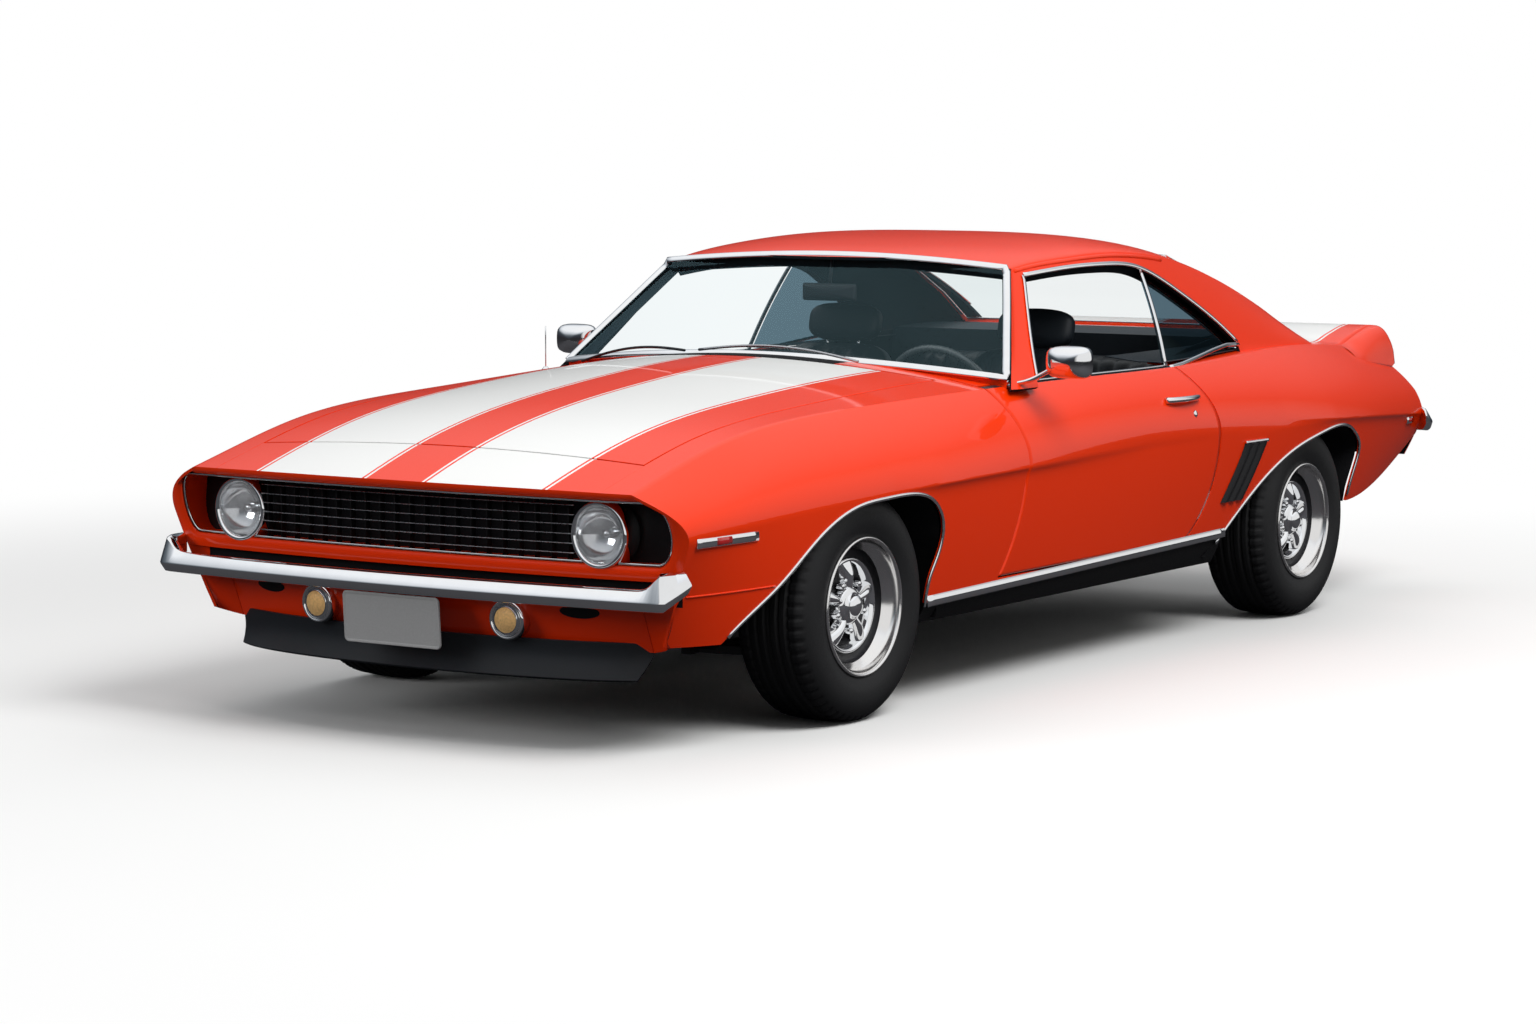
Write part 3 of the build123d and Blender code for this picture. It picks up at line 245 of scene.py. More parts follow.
def piece(name, grids, coats, body="body", stands_for=(), thick=0.0, outward=None,
          sharp=None, lining=None):
    """Piece out of grids of points: quads between neighbours, shared borders merged. Faces turn away from
    the point or line given by outward as (x, y, z) with None where it runs on, or by volume where it is left
    out. coats names one finish for all grids or one for each; lining is the finish of a thick piece's inner
    side."""
    work = bmesh.new()
    for number, grid in enumerate(grids):
        grid = np.asarray(grid, float)
        n, m = grid.shape[:2]
        index = np.arange(n * m).reshape(n, m)
        quads = np.stack([index[:-1, :-1], index[:-1, 1:], index[1:, 1:], index[1:, :-1]], -1).reshape(-1, 4)
        if outward is not None:
            spot = grid.reshape(-1, 3)
            a, b, c, d = (spot[quads[:, i]] for i in range(4))
            normal, middle = np.cross(c - a, d - b), (a + b + c + d) / 4
            ray = np.stack([middle[:, i] * 0 if o is None else middle[:, i] - o
                            for i, o in enumerate(outward)], 1)
            if (normal * ray).sum() < 0:
                quads = quads[:, ::-1]
        part = bpy.data.meshes.new("grid")
        part.from_pydata(grid.reshape(-1, 3).tolist(), [], quads.tolist())
        which = min(number, len(coats) - 1)
        part.polygons.foreach_set("material_index", np.full(len(quads), which, np.int32))
        work.from_mesh(part)
        bpy.data.meshes.remove(part)
    bmesh.ops.remove_doubles(work, verts=work.verts, dist=2e-5)
    bmesh.ops.dissolve_degenerate(work, edges=work.edges, dist=1e-6)
    if outward is None:
        bmesh.ops.recalc_face_normals(work, faces=work.faces)
    mesh = bpy.data.meshes.new(name)
    work.to_mesh(mesh)
    work.free()
    for coat in coats:
        mesh.materials.append(coat)
    mesh.polygons.foreach_set("use_smooth", np.ones(len(mesh.polygons), bool))
    if sharp is not None:
        mesh.set_sharp_from_angle(angle=math.radians(sharp))
    made = bpy.data.objects.new(name, mesh)
    scene.collection.objects.link(made)
    if thick:
        mesh.materials.append(lining or shade)
        wall = made.modifiers.new("wall", "SOLIDIFY")
        wall.thickness, wall.offset, wall.material_offset = thick, -1, len(coats)
        if lining:
            wall.material_offset_rim = len(coats)
        edge = made.modifiers.new("edge", "BEVEL")
        edge.width, edge.segments, edge.limit_method, edge.angle_limit = 0.0015, 2, "ANGLE", math.radians(50)
        edge.harden_normals = True
    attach(made, body)
    if stands_for:
        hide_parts(*stands_for)
    return made


def pair(grids):
    """Grids on the left with their mirror images on the right."""
    return [*grids, *[np.asarray(g) * (-1, 1, 1) for g in grids]]


def sheet(x, y, z):
    """Grid or line of points out of three arrays that stretch to one shape."""
    return np.stack(np.broadcast_arrays(x, y, z), -1)


# The body's outer skin. Stamped steel; every panel below is a cut of one smooth form whose cross-sections
# run from the sill out to the flank crease, in to the crest, then over a shallow crown.
# Columns: y, sill x and z, flank x and z, crest x and z, crown z, all in millimetres
SECTIONS = np.array([
    (-2400, 665, 300, 842, 545, 742, 668, 678), (-2200, 768, 290, 880, 572, 738, 722, 748),
    (-1900, 850, 282, 903, 600, 736, 796, 826), (-1400, 868, 270, 917, 626, 742, 845, 898),
    (-650, 868, 258, 911, 640, 778, 866, 948), (100, 868, 256, 907, 646, 804, 872, 930),
    (650, 868, 260, 915, 646, 797, 874, 930), (1350, 868, 275, 931, 650, 750, 892, 925),
    (1850, 850, 345, 910, 645, 724, 878, 906), (2400, 788, 480, 852, 605, 702, 815, 850)]) / 1000
sill_x, sill_z, flank_x, flank_z, crest_x, crest_z, crown_z = [
    through(SECTIONS[:, 0], c) for c in SECTIONS.T[1:]]
LOWER_BOW, UPPER_BOW, PANEL, GAP = 0.006, 0.032, 0.008, 0.006
AXIS_LINE = (0.0, None, 0.45)
CREASE, CREASE_ABOVE, CREASE_BELOW = 0.010, 0.090, 0.013


def crease_x(y, z):
    """Ridge that stands out along the flank behind each arch: it fades slowly upward and falls off below."""
    front = np.interp(y, [-1.32, -1.08, -0.45, 0.20], [0, 1, 1, 0])
    rear = np.interp(y, [1.10, 1.45, 2.20, 2.33], [0, 1, 1, 0.6])
    up = z - np.where(y < 0.6, 0.651 + 0.016 * y, 0.662 - 0.045 * (y - 1.35))
    fade = np.where(up > 0, up / CREASE_ABOVE, -up / CREASE_BELOW)
    return CREASE * np.maximum(front, rear) * np.exp(-fade)


def side_x(y, z):
    """Half width at a place on the side: two shallow arcs that meet at the flank, and the crease on it."""
    low = (z - sill_z(y)) / (flank_z(y) - sill_z(y))
    rise = crest_z(y) - flank_z(y)
    up = (z - flank_z(y)) / rise
    lean = np.hypot(rise, crest_x(y) - flank_x(y)) / rise
    under = sill_x(y) + low * (flank_x(y) - sill_x(y)) + 4 * LOWER_BOW * low * (1 - low)
    over = flank_x(y) + up * (crest_x(y) - flank_x(y)) + 4 * UPPER_BOW * lean * up * (1 - up)
    return np.where(z < flank_z(y), under, over) + crease_x(y, z)


def top_z(x, y):
    """Height of the upper skin: a parabola from crest to crest."""
    return crest_z(y) + (crown_z(y) - crest_z(y)) * (1 - (x / crest_x(y))**2)


def nose_y(x):
    """Plan curve of the nose: a shallow bow that turns back quickly at the corners."""
    return -2.350 + 0.050 * (x / 0.84)**2 + 0.020 * (x / 0.86)**12


def face_y(x, z):
    """Front of the nose: its plan curve, leaning back below the brow."""
    return nose_y(x) + 0.26 * np.maximum(0.675 - z, 0)


def arc_y(points):
    """y on the circle through three (y, z) points, as a function of z."""
    (y0, z0), (y1, z1), (y2, z2) = points
    a = np.array([[2 * (y1 - y0), 2 * (z1 - z0)], [2 * (y2 - y0), 2 * (z2 - z0)]])
    b = np.array([y1**2 - y0**2 + z1**2 - z0**2, y2**2 - y0**2 + z2**2 - z0**2])
    cy, cz = np.linalg.solve(a, b)
    r = math.hypot(y0 - cy, z0 - cz)
    return lambda z: cy + math.copysign(1, y1 - cy) * np.sqrt(r * r - (z - cz)**2)


def smooth_line(points, n=400):
    """Dense points on a spline through a line of points, by distance along it."""
    p = np.array(points, float)
    s = np.r_[0, np.cumsum(np.sqrt((np.diff(p, axis=0)**2).sum(1)))]
    t = np.linspace(0, s[-1], n)
    return np.stack([through(s, c)(t) for c in p.T], 1)


door_front = arc_y([(-0.640, 0.960), (-0.577, 0.640), (-0.690, 0.335)])
door_rear = arc_y([(0.400, 0.960), (0.645, 0.620), (0.470, 0.335)])
SILL_TOP, FENDER_X, DECK_X, DOOR_IN = 0.335, 0.650, 0.700, 0.762
DOOR_FOOT_FRONT, DOOR_FOOT_REAR = -0.690, 0.470
front_arch = smooth_line([(-2.040, 0.270), (-2.022, 0.292), (-1.850, 0.420), (-1.668, 0.545),
                          (-1.498, 0.606), (-1.352, 0.617), (-1.203, 0.616), (-1.100, 0.585),
                          (-1.043, 0.516), (-1.058, 0.426), (-1.080, 0.380), (-1.085, 0.262)])
rear_arch = smooth_line([(0.640, 0.262), (0.756, 0.350), (0.975, 0.492), (1.180, 0.576), (1.369, 0.616),
                         (1.557, 0.629), (1.660, 0.593), (1.712, 0.543), (1.702, 0.482), (1.684, 0.418),
                         (1.678, 0.356)])
SIDE_ROWS, TOP_ROWS = 72, 8


def stack(y, low, inner, front=None, rear=None):
    """Grids up the side and over the crest: rows from a low line to the crest, then in to the plane at
    inner. front and rear, if given, bend the first and last column to a line that depends on the row's
    place."""
    r = np.linspace(0, 1, SIDE_ROWS)[:, None]
    c = np.linspace(0, 1, len(y))[None, :]
    yy = np.repeat(np.asarray(y, float)[None, :], SIDE_ROWS, 0)
    for _ in range(6):
        z = low(yy) + r * (crest_z(yy) - low(yy))
        x = side_x(yy, z)
        if front is not None:
            yy = yy + (front(x[:, :1], z[:, :1]) - yy[:, :1]) * (1 - c)
        if rear is not None:
            yy = yy + (rear(x[:, -1:], z[:, -1:]) - yy[:, -1:]) * c
    t = np.linspace(0, 1, TOP_ROWS)[:, None]
    ty = np.repeat(yy[-1:], TOP_ROWS, 0)
    for _ in range(4):
        tx = crest_x(ty) + t * (inner - crest_x(ty))
        if front is not None:
            ty = ty + (front(tx[:, :1], crest_z(ty[:, :1])) - ty[:, :1]) * (1 - c)
    return [np.stack([x, yy, z], -1), np.stack([tx, ty, top_z(tx, ty)], -1)]


# Underbody. Pressed, cast and welded steel parts that keep their solid forms: a pan and tank sprayed with
# underseal, bare castings, an enamelled engine block and an aluminised exhaust, all bolted up from below.
forged = finish("forged_steel", (0.10, 0.10, 0.105), 0.50, 0.7, scale=70.0, waver=0.3, tone=0.3,
                relief=0.0004)
block_enamel = finish("engine_enamel", (0.36, 0.060, 0.018), 0.40, scale=60.0, waver=0.3, tone=0.2,
                      relief=0.0005)
aluminised = finish("aluminised_tube", (0.46, 0.46, 0.45), 0.36, 1.0, scale=26.0, waver=0.35, tone=0.22)
tank_black = finish("tank_black", (0.045, 0.045, 0.048), 0.45, 0.2, scale=30.0, waver=0.3, tone=0.3)
for node, coat in (("floor_pan", shade), ("front_subframe", tank_black), ("rear_axle", forged),
                   ("engine", block_enamel), ("driveshaft", forged), ("fuel_tank", tank_black),
                   ("exhaust", aluminised), ("knuckle_left", forged), ("knuckle_right", forged)):
    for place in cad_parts[node].material_slots:
        place.material = coat


# Front fenders. Pressed steel, bolted along the top to the inner wing; each carries the wheel arch and runs
# from the nose back to the door's front edge.
def sill_line(y):
    """Lower edge of the body colour along the sill, just under the middle of the bright strip."""
    return 0.299 + 0.018 * (y + 1.04)


def front_low(y):
    """Lower edge: the sill line ahead of the arch, then the arch up to its rearmost place."""
    k = front_arch[:, 0].argmax()
    return np.where(y < -2.022, sill_z(y), np.interp(y, front_arch[:k, 0], front_arch[:k, 1]))


def rear_run(arch, split_z):
    """The falling end of an arch below a height, from the bottom up."""
    run = arch[arch[:, 1].argmax():]
    return run[run[:, 1] <= split_z + 1e-6][::-1]


FENDER_SPLIT = -1.100
split_z = float(front_low(np.array(FENDER_SPLIT)))
run = rear_run(front_arch, split_z)
ahead = stack(np.linspace(-2.25, FENDER_SPLIT, 84), front_low, FENDER_X, front=face_y)
above = stack(np.linspace(FENDER_SPLIT, -0.6, 36), lambda y: split_z + 0 * y, FENDER_X,
              rear=lambda x, z: door_front(z) - GAP)
r, c = np.linspace(0, 1, 24)[:, None], np.linspace(0, 1, 36)[None, :]
foot = sill_line(-1.08 + 0.39 * c)
z = foot + r * (split_z - foot)
first = np.interp(z, run[:, 1], run[:, 0])
last = np.where(z > SILL_TOP, door_front(np.maximum(z, SILL_TOP)), DOOR_FOOT_FRONT) - GAP
y = first + c * (last - first)
below = np.stack([side_x(y, z), y, z], -1)
piece("front_fenders_skin", pair([*ahead, *above, below]), [paint], stands_for=["front_fenders"],
      thick=PANEL, outward=AXIS_LINE)

# Wheel houses. Sheet steel sprayed with black underseal, spot-welded inside the arches: a wall that follows
# the arch inward and a disc that closes it.
AXLE_Z, FRONT_AXLE_Y, REAR_AXLE_Y = 0.320, -1.397, 1.349
for name, arch, axle_y, inner, least_r in (("front_wheel_houses", front_arch, FRONT_AXLE_Y, 0.47, 0.392),
                                           ("rear_wheel_houses", rear_arch, REAR_AXLE_Y, 0.60, 0.338)):
    dy, dz = arch[:, 0] - axle_y, arch[:, 1] - AXLE_Z
    turn = np.unwrap(np.arctan2(dz, dy))
    order = np.argsort(turn)
    a = np.linspace(turn.min(), turn.max(), 90)
    radius = np.maximum(np.interp(a, turn[order], np.hypot(dy, dz)[order]) - 0.004, least_r)
    py, pz = axle_y + radius * np.cos(a), AXLE_Z + radius * np.sin(a)
    lip = side_x(py, np.clip(pz, 0.30, 0.80)) - 0.012
    wall = np.stack([np.stack([inner + t * (lip - inner), py, pz], -1) for t in np.linspace(0, 1, 5)])
    disc = np.stack([np.stack([0 * py + inner, axle_y + t * (py - axle_y), AXLE_Z + t * (pz - AXLE_Z)], -1)
                     for t in (1.0, 0.5, 0.02)])
    piece(name, pair([wall, disc]), [shade], outward=(0.0, axle_y, 5.0))

# Doors. A pressed outer skin hemmed over an inner panel with a vinyl card, hung on two hidden straps; both
# upright edges are arcs seen from the side.
vinyl = finish("black_vinyl", (0.014, 0.018, 0.023), 0.42, scale=650.0, waver=0.15, tone=0.2, relief=0.0003)
HANDS = (("left", 1), ("right", -1))
for hand, sign in HANDS:
    outer = stack(np.linspace(-0.6, 0.5, 80), lambda y: SILL_TOP + 0 * y, DOOR_IN,
                  front=lambda x, z: door_front(z), rear=lambda x, z: door_rear(z))
    card = outer[0] * (0, 1, 1) + (DOOR_IN, 0, 0)
    card[-1] = outer[1][-1]
    rims = [np.stack([outer[0][0], card[0]]), np.stack([outer[0][:, 0], card[:, 0]], 1),
            np.stack([outer[0][:, -1], card[:, -1]], 1)]
    mirror_x = (sign, 1, 1)
    piece(f"door_{hand}_skin", [g * mirror_x for g in (*outer, *rims)], [paint, vinyl, paint],
          f"door_{hand}", [f"door_{hand}"], outward=(0.83 * sign, -0.05, 0.6))
    piece(f"door_{hand}_card", [card * mirror_x], [vinyl], f"door_{hand}",
          outward=(2.0 * sign, None, None))

# Rocker panels. Steel box sections welded along the floor under the doors, in body colour down to the bright
# strip.
y = np.linspace(-0.696, 0.476, 60)[None, :]
z = np.linspace(0, 1, 8)[:, None] * (SILL_TOP - GAP - sill_line(y)) + sill_line(y)
piece("rocker_skins", pair([sheet(side_x(y, z), y, z)]), [paint],
      stands_for=["rocker_panels"], thick=PANEL, outward=AXIS_LINE)


# Quarter panels. One steel pressing on each side, welded to the roof and the floor; it runs from the door's
# rear edge over the arch to the tail.
def rear_low(y):
    """Lower edge: the sill line, then the rear arch as far back as it overhangs."""
    k = rear_arch[:, 0].argmax()
    return np.where(y < 0.730, sill_line(y), np.interp(y, rear_arch[:k, 0], rear_arch[:k, 1]))


def quarter_front(x, z):
    """Front edge: a gap behind the door, and straight below the door's foot."""
    return np.where(z > SILL_TOP, door_rear(np.maximum(z, SILL_TOP)), DOOR_FOOT_REAR) + GAP


def tail_y(z):
    """Slant of the tail seen from the side."""
    return np.interp(z, [0.30, 0.56, 0.70, 0.85, 0.96], [2.270, 2.330, 2.318, 2.225, 2.150])


QUARTER_SPLIT = 1.660
split_z = float(rear_low(np.array(QUARTER_SPLIT)))
run = rear_run(rear_arch, split_z)
ahead = stack(np.linspace(0.6, QUARTER_SPLIT, 76), rear_low, DECK_X, front=quarter_front)
above = stack(np.linspace(QUARTER_SPLIT, 2.3, 46), lambda y: split_z + 0 * y, DECK_X,
              rear=lambda x, z: tail_y(z))
c = np.linspace(0, 1, 46)[None, :]
hem = 0.360 + 0.185 * c**1.9
z = hem + np.linspace(0, 1, 24)[:, None] * (split_z - hem)
first = np.interp(z, run[:, 1], run[:, 0])
y = first + c * (tail_y(z) - first)
below = np.stack([side_x(y, z), y, z], -1)
piece("quarter_skins", pair([*ahead, *above, below]), [paint], stands_for=["quarter_panels"], thick=PANEL,
      outward=AXIS_LINE)


# Hood. A wide crowned steel pressing with the stripes over it, hinged at the cowl; its rear edge bows
# forward in the middle.
def hood_rear(x):
    """Bowed rear edge of the hood."""
    return -0.760 + 0.092 * (x / FENDER_X)**2


def on_top(x0, x1, front, rear, across=96, along=90):
    """Grid on the upper skin between two side lines and two curves of x."""
    x = np.linspace(x0, x1, across)[None, :]
    y = front(x) + np.linspace(0, 1, along)[:, None] * (rear(x) - front(x))
    return sheet(x, y, top_z(x, y))


HOOD_FRONT = -2.118
piece("hood_skin", [on_top(GAP - FENDER_X, FENDER_X - GAP, lambda x: HOOD_FRONT + 0 * x, hood_rear)],
      [striped], "hood", ["hood"], PANEL, AXIS_LINE)

# Header and nose. The header panel runs from the hood down to the grille; the face below it is a ring round
# the long opening, rolled back into it.
OPEN_HALF, OPEN_LOW, OPEN_MID, OPEN_TOP, OPEN_BACK, OPEN_ROUND = 0.828, 0.504, 0.589, 0.675, 0.09, 0.6
NOSE_LOW = 0.466


def ring(n_side, n_top, half, low, top, rounding):
    """Closed line round an opening: up the left end, over the top, down the right end and back along the
    foot."""
    r = (top - low) / 2 * rounding
    a = np.linspace(-np.pi / 2, np.pi / 2, n_side)
    mid = (top + low) / 2
    x_end = half - r + r * np.cos(a)
    z_end = mid + (top - low) / 2 * np.sin(a)
    x_top = np.linspace(half - r, r - half, n_top)
    x = np.r_[x_end, x_top[1:-1], -x_end[::-1], -x_top[1:-1], x_end[:1]]
    z = np.r_[z_end, np.full(n_top - 2, top), z_end[::-1], np.full(n_top - 2, low), z_end[:1]]
    return np.stack([x, z], 1)


inner = ring(25, 61, OPEN_HALF, OPEN_LOW, OPEN_TOP, OPEN_ROUND)
x = np.full(25, 0.85)
for _ in range(6):
    z = np.linspace(NOSE_LOW, float(crest_z(nose_y(x[-1]))), 25)
    x = side_x(face_y(x, z), z)
x_top = np.linspace(x[-1], -x[-1], 61)
outer = np.stack([np.r_[x, x_top[1:-1], -x[::-1], -x_top[1:-1] * x[0] / x[-1], x[:1]],
                  np.r_[z, top_z(x_top, nose_y(x_top))[1:-1], z[::-1], np.full(59, NOSE_LOW), z[:1]]], 1)
t = np.linspace(0, 1, 9)[:, None, None]
face = outer[None] + t * (inner - outer)[None]
sink = 0.012 * np.linspace(0, 1, 9)[:, None]**3
nose_face = np.stack([face[..., 0], face_y(face[..., 0], face[..., 1]) + sink, face[..., 1]], -1)
t = np.linspace(0, 1, 6)[:, None]
tunnel_y = face_y(inner[:, 0], inner[:, 1]) + 0.012 + OPEN_BACK * t
tunnel_z = OPEN_MID + (inner[:, 1] - OPEN_MID) * (1 - 0.05 * t)
tunnel = sheet(inner[:, 0] * (1 - 0.012 * t), tunnel_y, tunnel_z)
header = on_top(-FENDER_X, FENDER_X, nose_y, lambda x: HOOD_FRONT - GAP + 0 * x, along=30)
piece("nose_skin", [header], [striped], stands_for=["nose_panel"], thick=PANEL, outward=AXIS_LINE)
piece("nose_face", [nose_face, tunnel], [paint], outward=(0.0, -1.0, None))
# A black sheet set back behind the bumper's top edge stands in for the shade in the gap between bumper and
# nose: painted shade.
x, z = np.linspace(-0.83, 0.83, 60)[None, :], np.linspace(0.400, NOSE_LOW + 0.012, 5)[:, None]
piece("bumper_gap_painted_shade", [sheet(x, nose_y(x) + 0.078, z)], [shade],
      outward=(0.0, -1.0, None))

# Front valance and chin spoiler. The valance closes the nose under the bumper; the spoiler is a satin black
# moulding screwed to its lower edge.
VALANCE_TOP, VALANCE_LOW, VALANCE_X = 0.425, 0.268, 0.700


def valance_y(x, z):
    """Face of the valance: a rounder plan curve than the nose's, leaning back towards the ground."""
    return -2.315 + 0.155 * (x / 0.9)**2 + 0.42 * np.maximum(VALANCE_TOP - z, 0)


x, z = np.linspace(-VALANCE_X, VALANCE_X, 90)[None, :], np.linspace(VALANCE_TOP, VALANCE_LOW, 16)[:, None]
valance = sheet(x, valance_y(x, z), z)
z = np.linspace(NOSE_LOW, VALANCE_LOW, 16)
x = 0 * z + 0.85
for _ in range(6):
    x = side_x(face_y(x, z), np.maximum(z, 0.288))
end = np.stack([x, face_y(x, z), z], 1)
start = np.stack([0 * z + VALANCE_X + 0.002, valance_y(VALANCE_X, z), z], 1)
turn = np.stack([x - 0.004, valance_y(VALANCE_X, z) - 0.012, z], 1)
t = np.linspace(0, 1, 14)[:, None, None]
corner = (1 - t)**2 * start + 2 * t * (1 - t) * turn + t**2 * end
corner[..., 2] += 0.022 * t[..., 0] * np.linspace(0, 1, 16)**2
piece("valance_skin", [valance, *pair([corner])], [paint], stands_for=["front_valance"], thick=PANEL,
      outward=(0.0, -1.0, None))
satin = finish("satin_black", (0.014, 0.016, 0.019), 0.45, spec=0.35, scale=500.0, waver=0.2, tone=0.2,
               relief=0.0002)
x, z = np.linspace(-1, 1, 25)[None, :], np.linspace(-1, 1, 9)[:, None]
slot_x, slot_z = 0.525 + 0.056 * x * np.sqrt(1 - 0.5 * z**2), 0.371 + 0.018 * z * np.sqrt(1 - 0.5 * x**2)
slots = sheet(slot_x, valance_y(slot_x, slot_z) - 0.0015, slot_z)
piece("valance_slots", pair([slots]), [shade], thick=0.004, outward=(0.0, -1.0, None))
CHIN_TOP, CHIN_LOW, CHIN_X = 0.292, 0.197, 0.712
x, t = np.linspace(-CHIN_X, CHIN_X, 80)[None, :], np.linspace(0, 1, 10)[:, None]
wide = x * (1 - 0.055 * t)
drop = CHIN_TOP - (CHIN_TOP - CHIN_LOW) * t
lean = 0.034 * t - 0.012 * np.sin(np.pi * t)
chin_y = valance_y(wide, CHIN_TOP) - 0.016 - lean + 0.030 * (x / CHIN_X)**8
piece("chin_blade", [sheet(wide, chin_y, drop)], [satin], stands_for=["chin_spoiler"],
      thick=0.010, outward=(0.0, -1.0, None))

# Front bumper. One rolled and chromed steel bar on hidden brackets: a bright upper face, a lower face that
# turns under, and ends that step up and wrap the corners.
chrome = finish("chrome", (0.88, 0.89, 0.90), 0.06, 1.0, scale=18.0, waver=0.5, tone=0.02)


def bar(path, out, section):
    """Closed bar: a section of (out, up) offsets, one row for each place on a path, along level out
    vectors."""
    out = out / np.linalg.norm(out, axis=1, keepdims=True)
    grid = path[:, None, :] + out[:, None, :] * section[..., :1] + np.array([0, 0, 1.0]) * section[..., 1:]
    grid = np.concatenate([grid, grid[:, :1]], 1)
    cap = grid[[0, -1]].mean(1, keepdims=True) + 0 * grid[[0, -1]]
    return np.concatenate([cap[:1], grid, cap[1:]])


s = np.linspace(-1, 1, 161)
u = np.abs(s)
bar_x = np.where(u < 0.9, s / 0.9 * 0.832,
                 np.sign(s) * (0.832 + 0.036 * np.sin(np.clip((u - 0.9) / 0.1, 0, 1) * 1.4)))
bar_y = -2.378 + 0.052 * (np.minimum(u, 0.9) / 0.9)**2 + 0.085 * np.clip((u - 0.9) / 0.1, 0, 1)**1.6
path = sheet(bar_x, bar_y, 0.400)
along = np.gradient(path, axis=0)
out = sheet(along[:, 1], -along[:, 0], 0.0)
lift = 0.044 / (1 + np.exp(-(u - 0.880) * 90))
top = 0.053 + lift
hem = 0.040 * np.clip((u - 0.925) / 0.075, 0, 1)
rows = np.stack([np.stack([0 * s + a, b + 0 * s], 1) for a, b in (
    (-0.034, 0.006 + hem), (-0.012, hem - 0.003), (0.000, hem), (0.012, 0.019 + hem), (0.0135, 0.023 + hem),
    (0.0125, 0.027 + hem), (-0.006, top - 0.005), (-0.013, top), (-0.020, top + 0.001),
    (-0.034, top - 0.004))], 1)
piece("front_bumper_bar", [bar(path, out, rows)], [chrome], stands_for=["front_bumper"],
      sharp=28)

# Grille. A black moulded egg-crate with six thin silver bars between the lamps, screwed into the opening
# from behind, in a fine bright surround.
black = finish("grille_black", (0.006, 0.006, 0.007), 0.5, spec=0.3, scale=400.0, waver=0.25, tone=0.2)
silver = finish("dull_silver", (0.50, 0.51, 0.53), 0.30, 1.0, scale=120.0, waver=0.3, tone=0.08)


def rod(path, radius, up=(0, 0, 1), n=10, flat=1.0):
    """Round or flattened rod along a path: a circle in the plane across the path, squeezed by flat along
    up."""
    path = np.asarray(path, float)
    along = np.gradient(path, axis=0)
    along /= np.linalg.norm(along, axis=1, keepdims=True)
    up = np.broadcast_to(np.asarray(up, float), path.shape)
    up = up - (up * along).sum(1, keepdims=True) * along
    up /= np.linalg.norm(up, axis=1, keepdims=True)
    across = np.cross(along, up)
    a = np.linspace(0, 2 * np.pi, n + 1)
    circle = np.cos(a)[:, None] * across[:, None] + flat * np.sin(a)[:, None] * up[:, None]
    grid = path[:, None] + radius * circle
    grid[:, -1] = grid[:, 0]
    cap = path[[0, -1]][:, None] + 0 * grid[[0, -1]]
    return np.concatenate([cap[:1], grid, cap[1:]])


x = np.linspace(-0.82, 0.82, 60)
z = np.linspace(OPEN_LOW - 0.005, OPEN_TOP + 0.005, 4)[:, None]
backing = sheet(x, nose_y(x) + 0.118, z)
piece("grille_backing", [backing], [black], stands_for=["grille"],
      outward=(0.0, -1.0, None))
x = np.linspace(-0.53, 0.53, 50)
piece("grille_bars", [rod(sheet(x, nose_y(x) + 0.062, z), 0.0040, flat=0.4)
                      for z in np.linspace(0.528, 0.652, 6)], [silver])
z = np.linspace(OPEN_LOW + 0.004, OPEN_TOP - 0.004, 4)
piece("grille_uprights", [rod(sheet(x, nose_y(x) + 0.075, z), 0.012, up=(1, 0, 0), n=8, flat=0.12)
                          for x in np.linspace(-0.51, 0.51, 21)], [black])
loop = ring(25, 61, OPEN_HALF - 0.004, OPEN_LOW + 0.004, OPEN_TOP - 0.004, OPEN_ROUND)
loop = sheet(loop[:, 0], face_y(loop[:, 0], loop[:, 1]) + 0.018, loop[:, 1])
surround = rod(loop, 0.0032, up=(0, 1, 0), n=8)[1:-1]
surround[-1] = surround[0]
piece("grille_surround", [surround], [chrome])

# Headlamps. Round sealed units held in the grille opening by chromed rings: a fluted glass lens over a
# silvered bowl with the bulb's shield in it.
lens = bpy.data.materials.new("lamp_glass")
lens.use_nodes = True
shader = lens.node_tree.nodes["Principled BSDF"]
shader.inputs["Transmission Weight"].default_value = 0.86
shader.inputs["Roughness"].default_value = 0.05
shader.inputs["IOR"].default_value = 1.20
shader.inputs["Base Color"].default_value = (0.93, 0.94, 0.95, 1)
bowl_coat = finish("silvered_bowl", (0.80, 0.81, 0.82), 0.12, 1.0)


def turned(profile, centre, axis, n=64):
    """Turned form: (radius, distance along the axis) points spun round an axis through a centre."""
    profile = np.asarray(profile, float)
    axis = np.asarray(axis, float) / np.linalg.norm(axis)
    side = np.cross(axis, (0, 0, 1)) if abs(axis[2]) < 0.9 else np.cross(axis, (1, 0, 0))
    side /= np.linalg.norm(side)
    other = np.cross(axis, side)
    a = np.linspace(0, 2 * np.pi, n + 1)
    a[-1] = 0
    wheel = np.cos(a)[:, None] * side + np.sin(a)[:, None] * other
    return np.asarray(centre) + profile[:, None, :1] * wheel[None] + profile[:, None, 1:] * axis


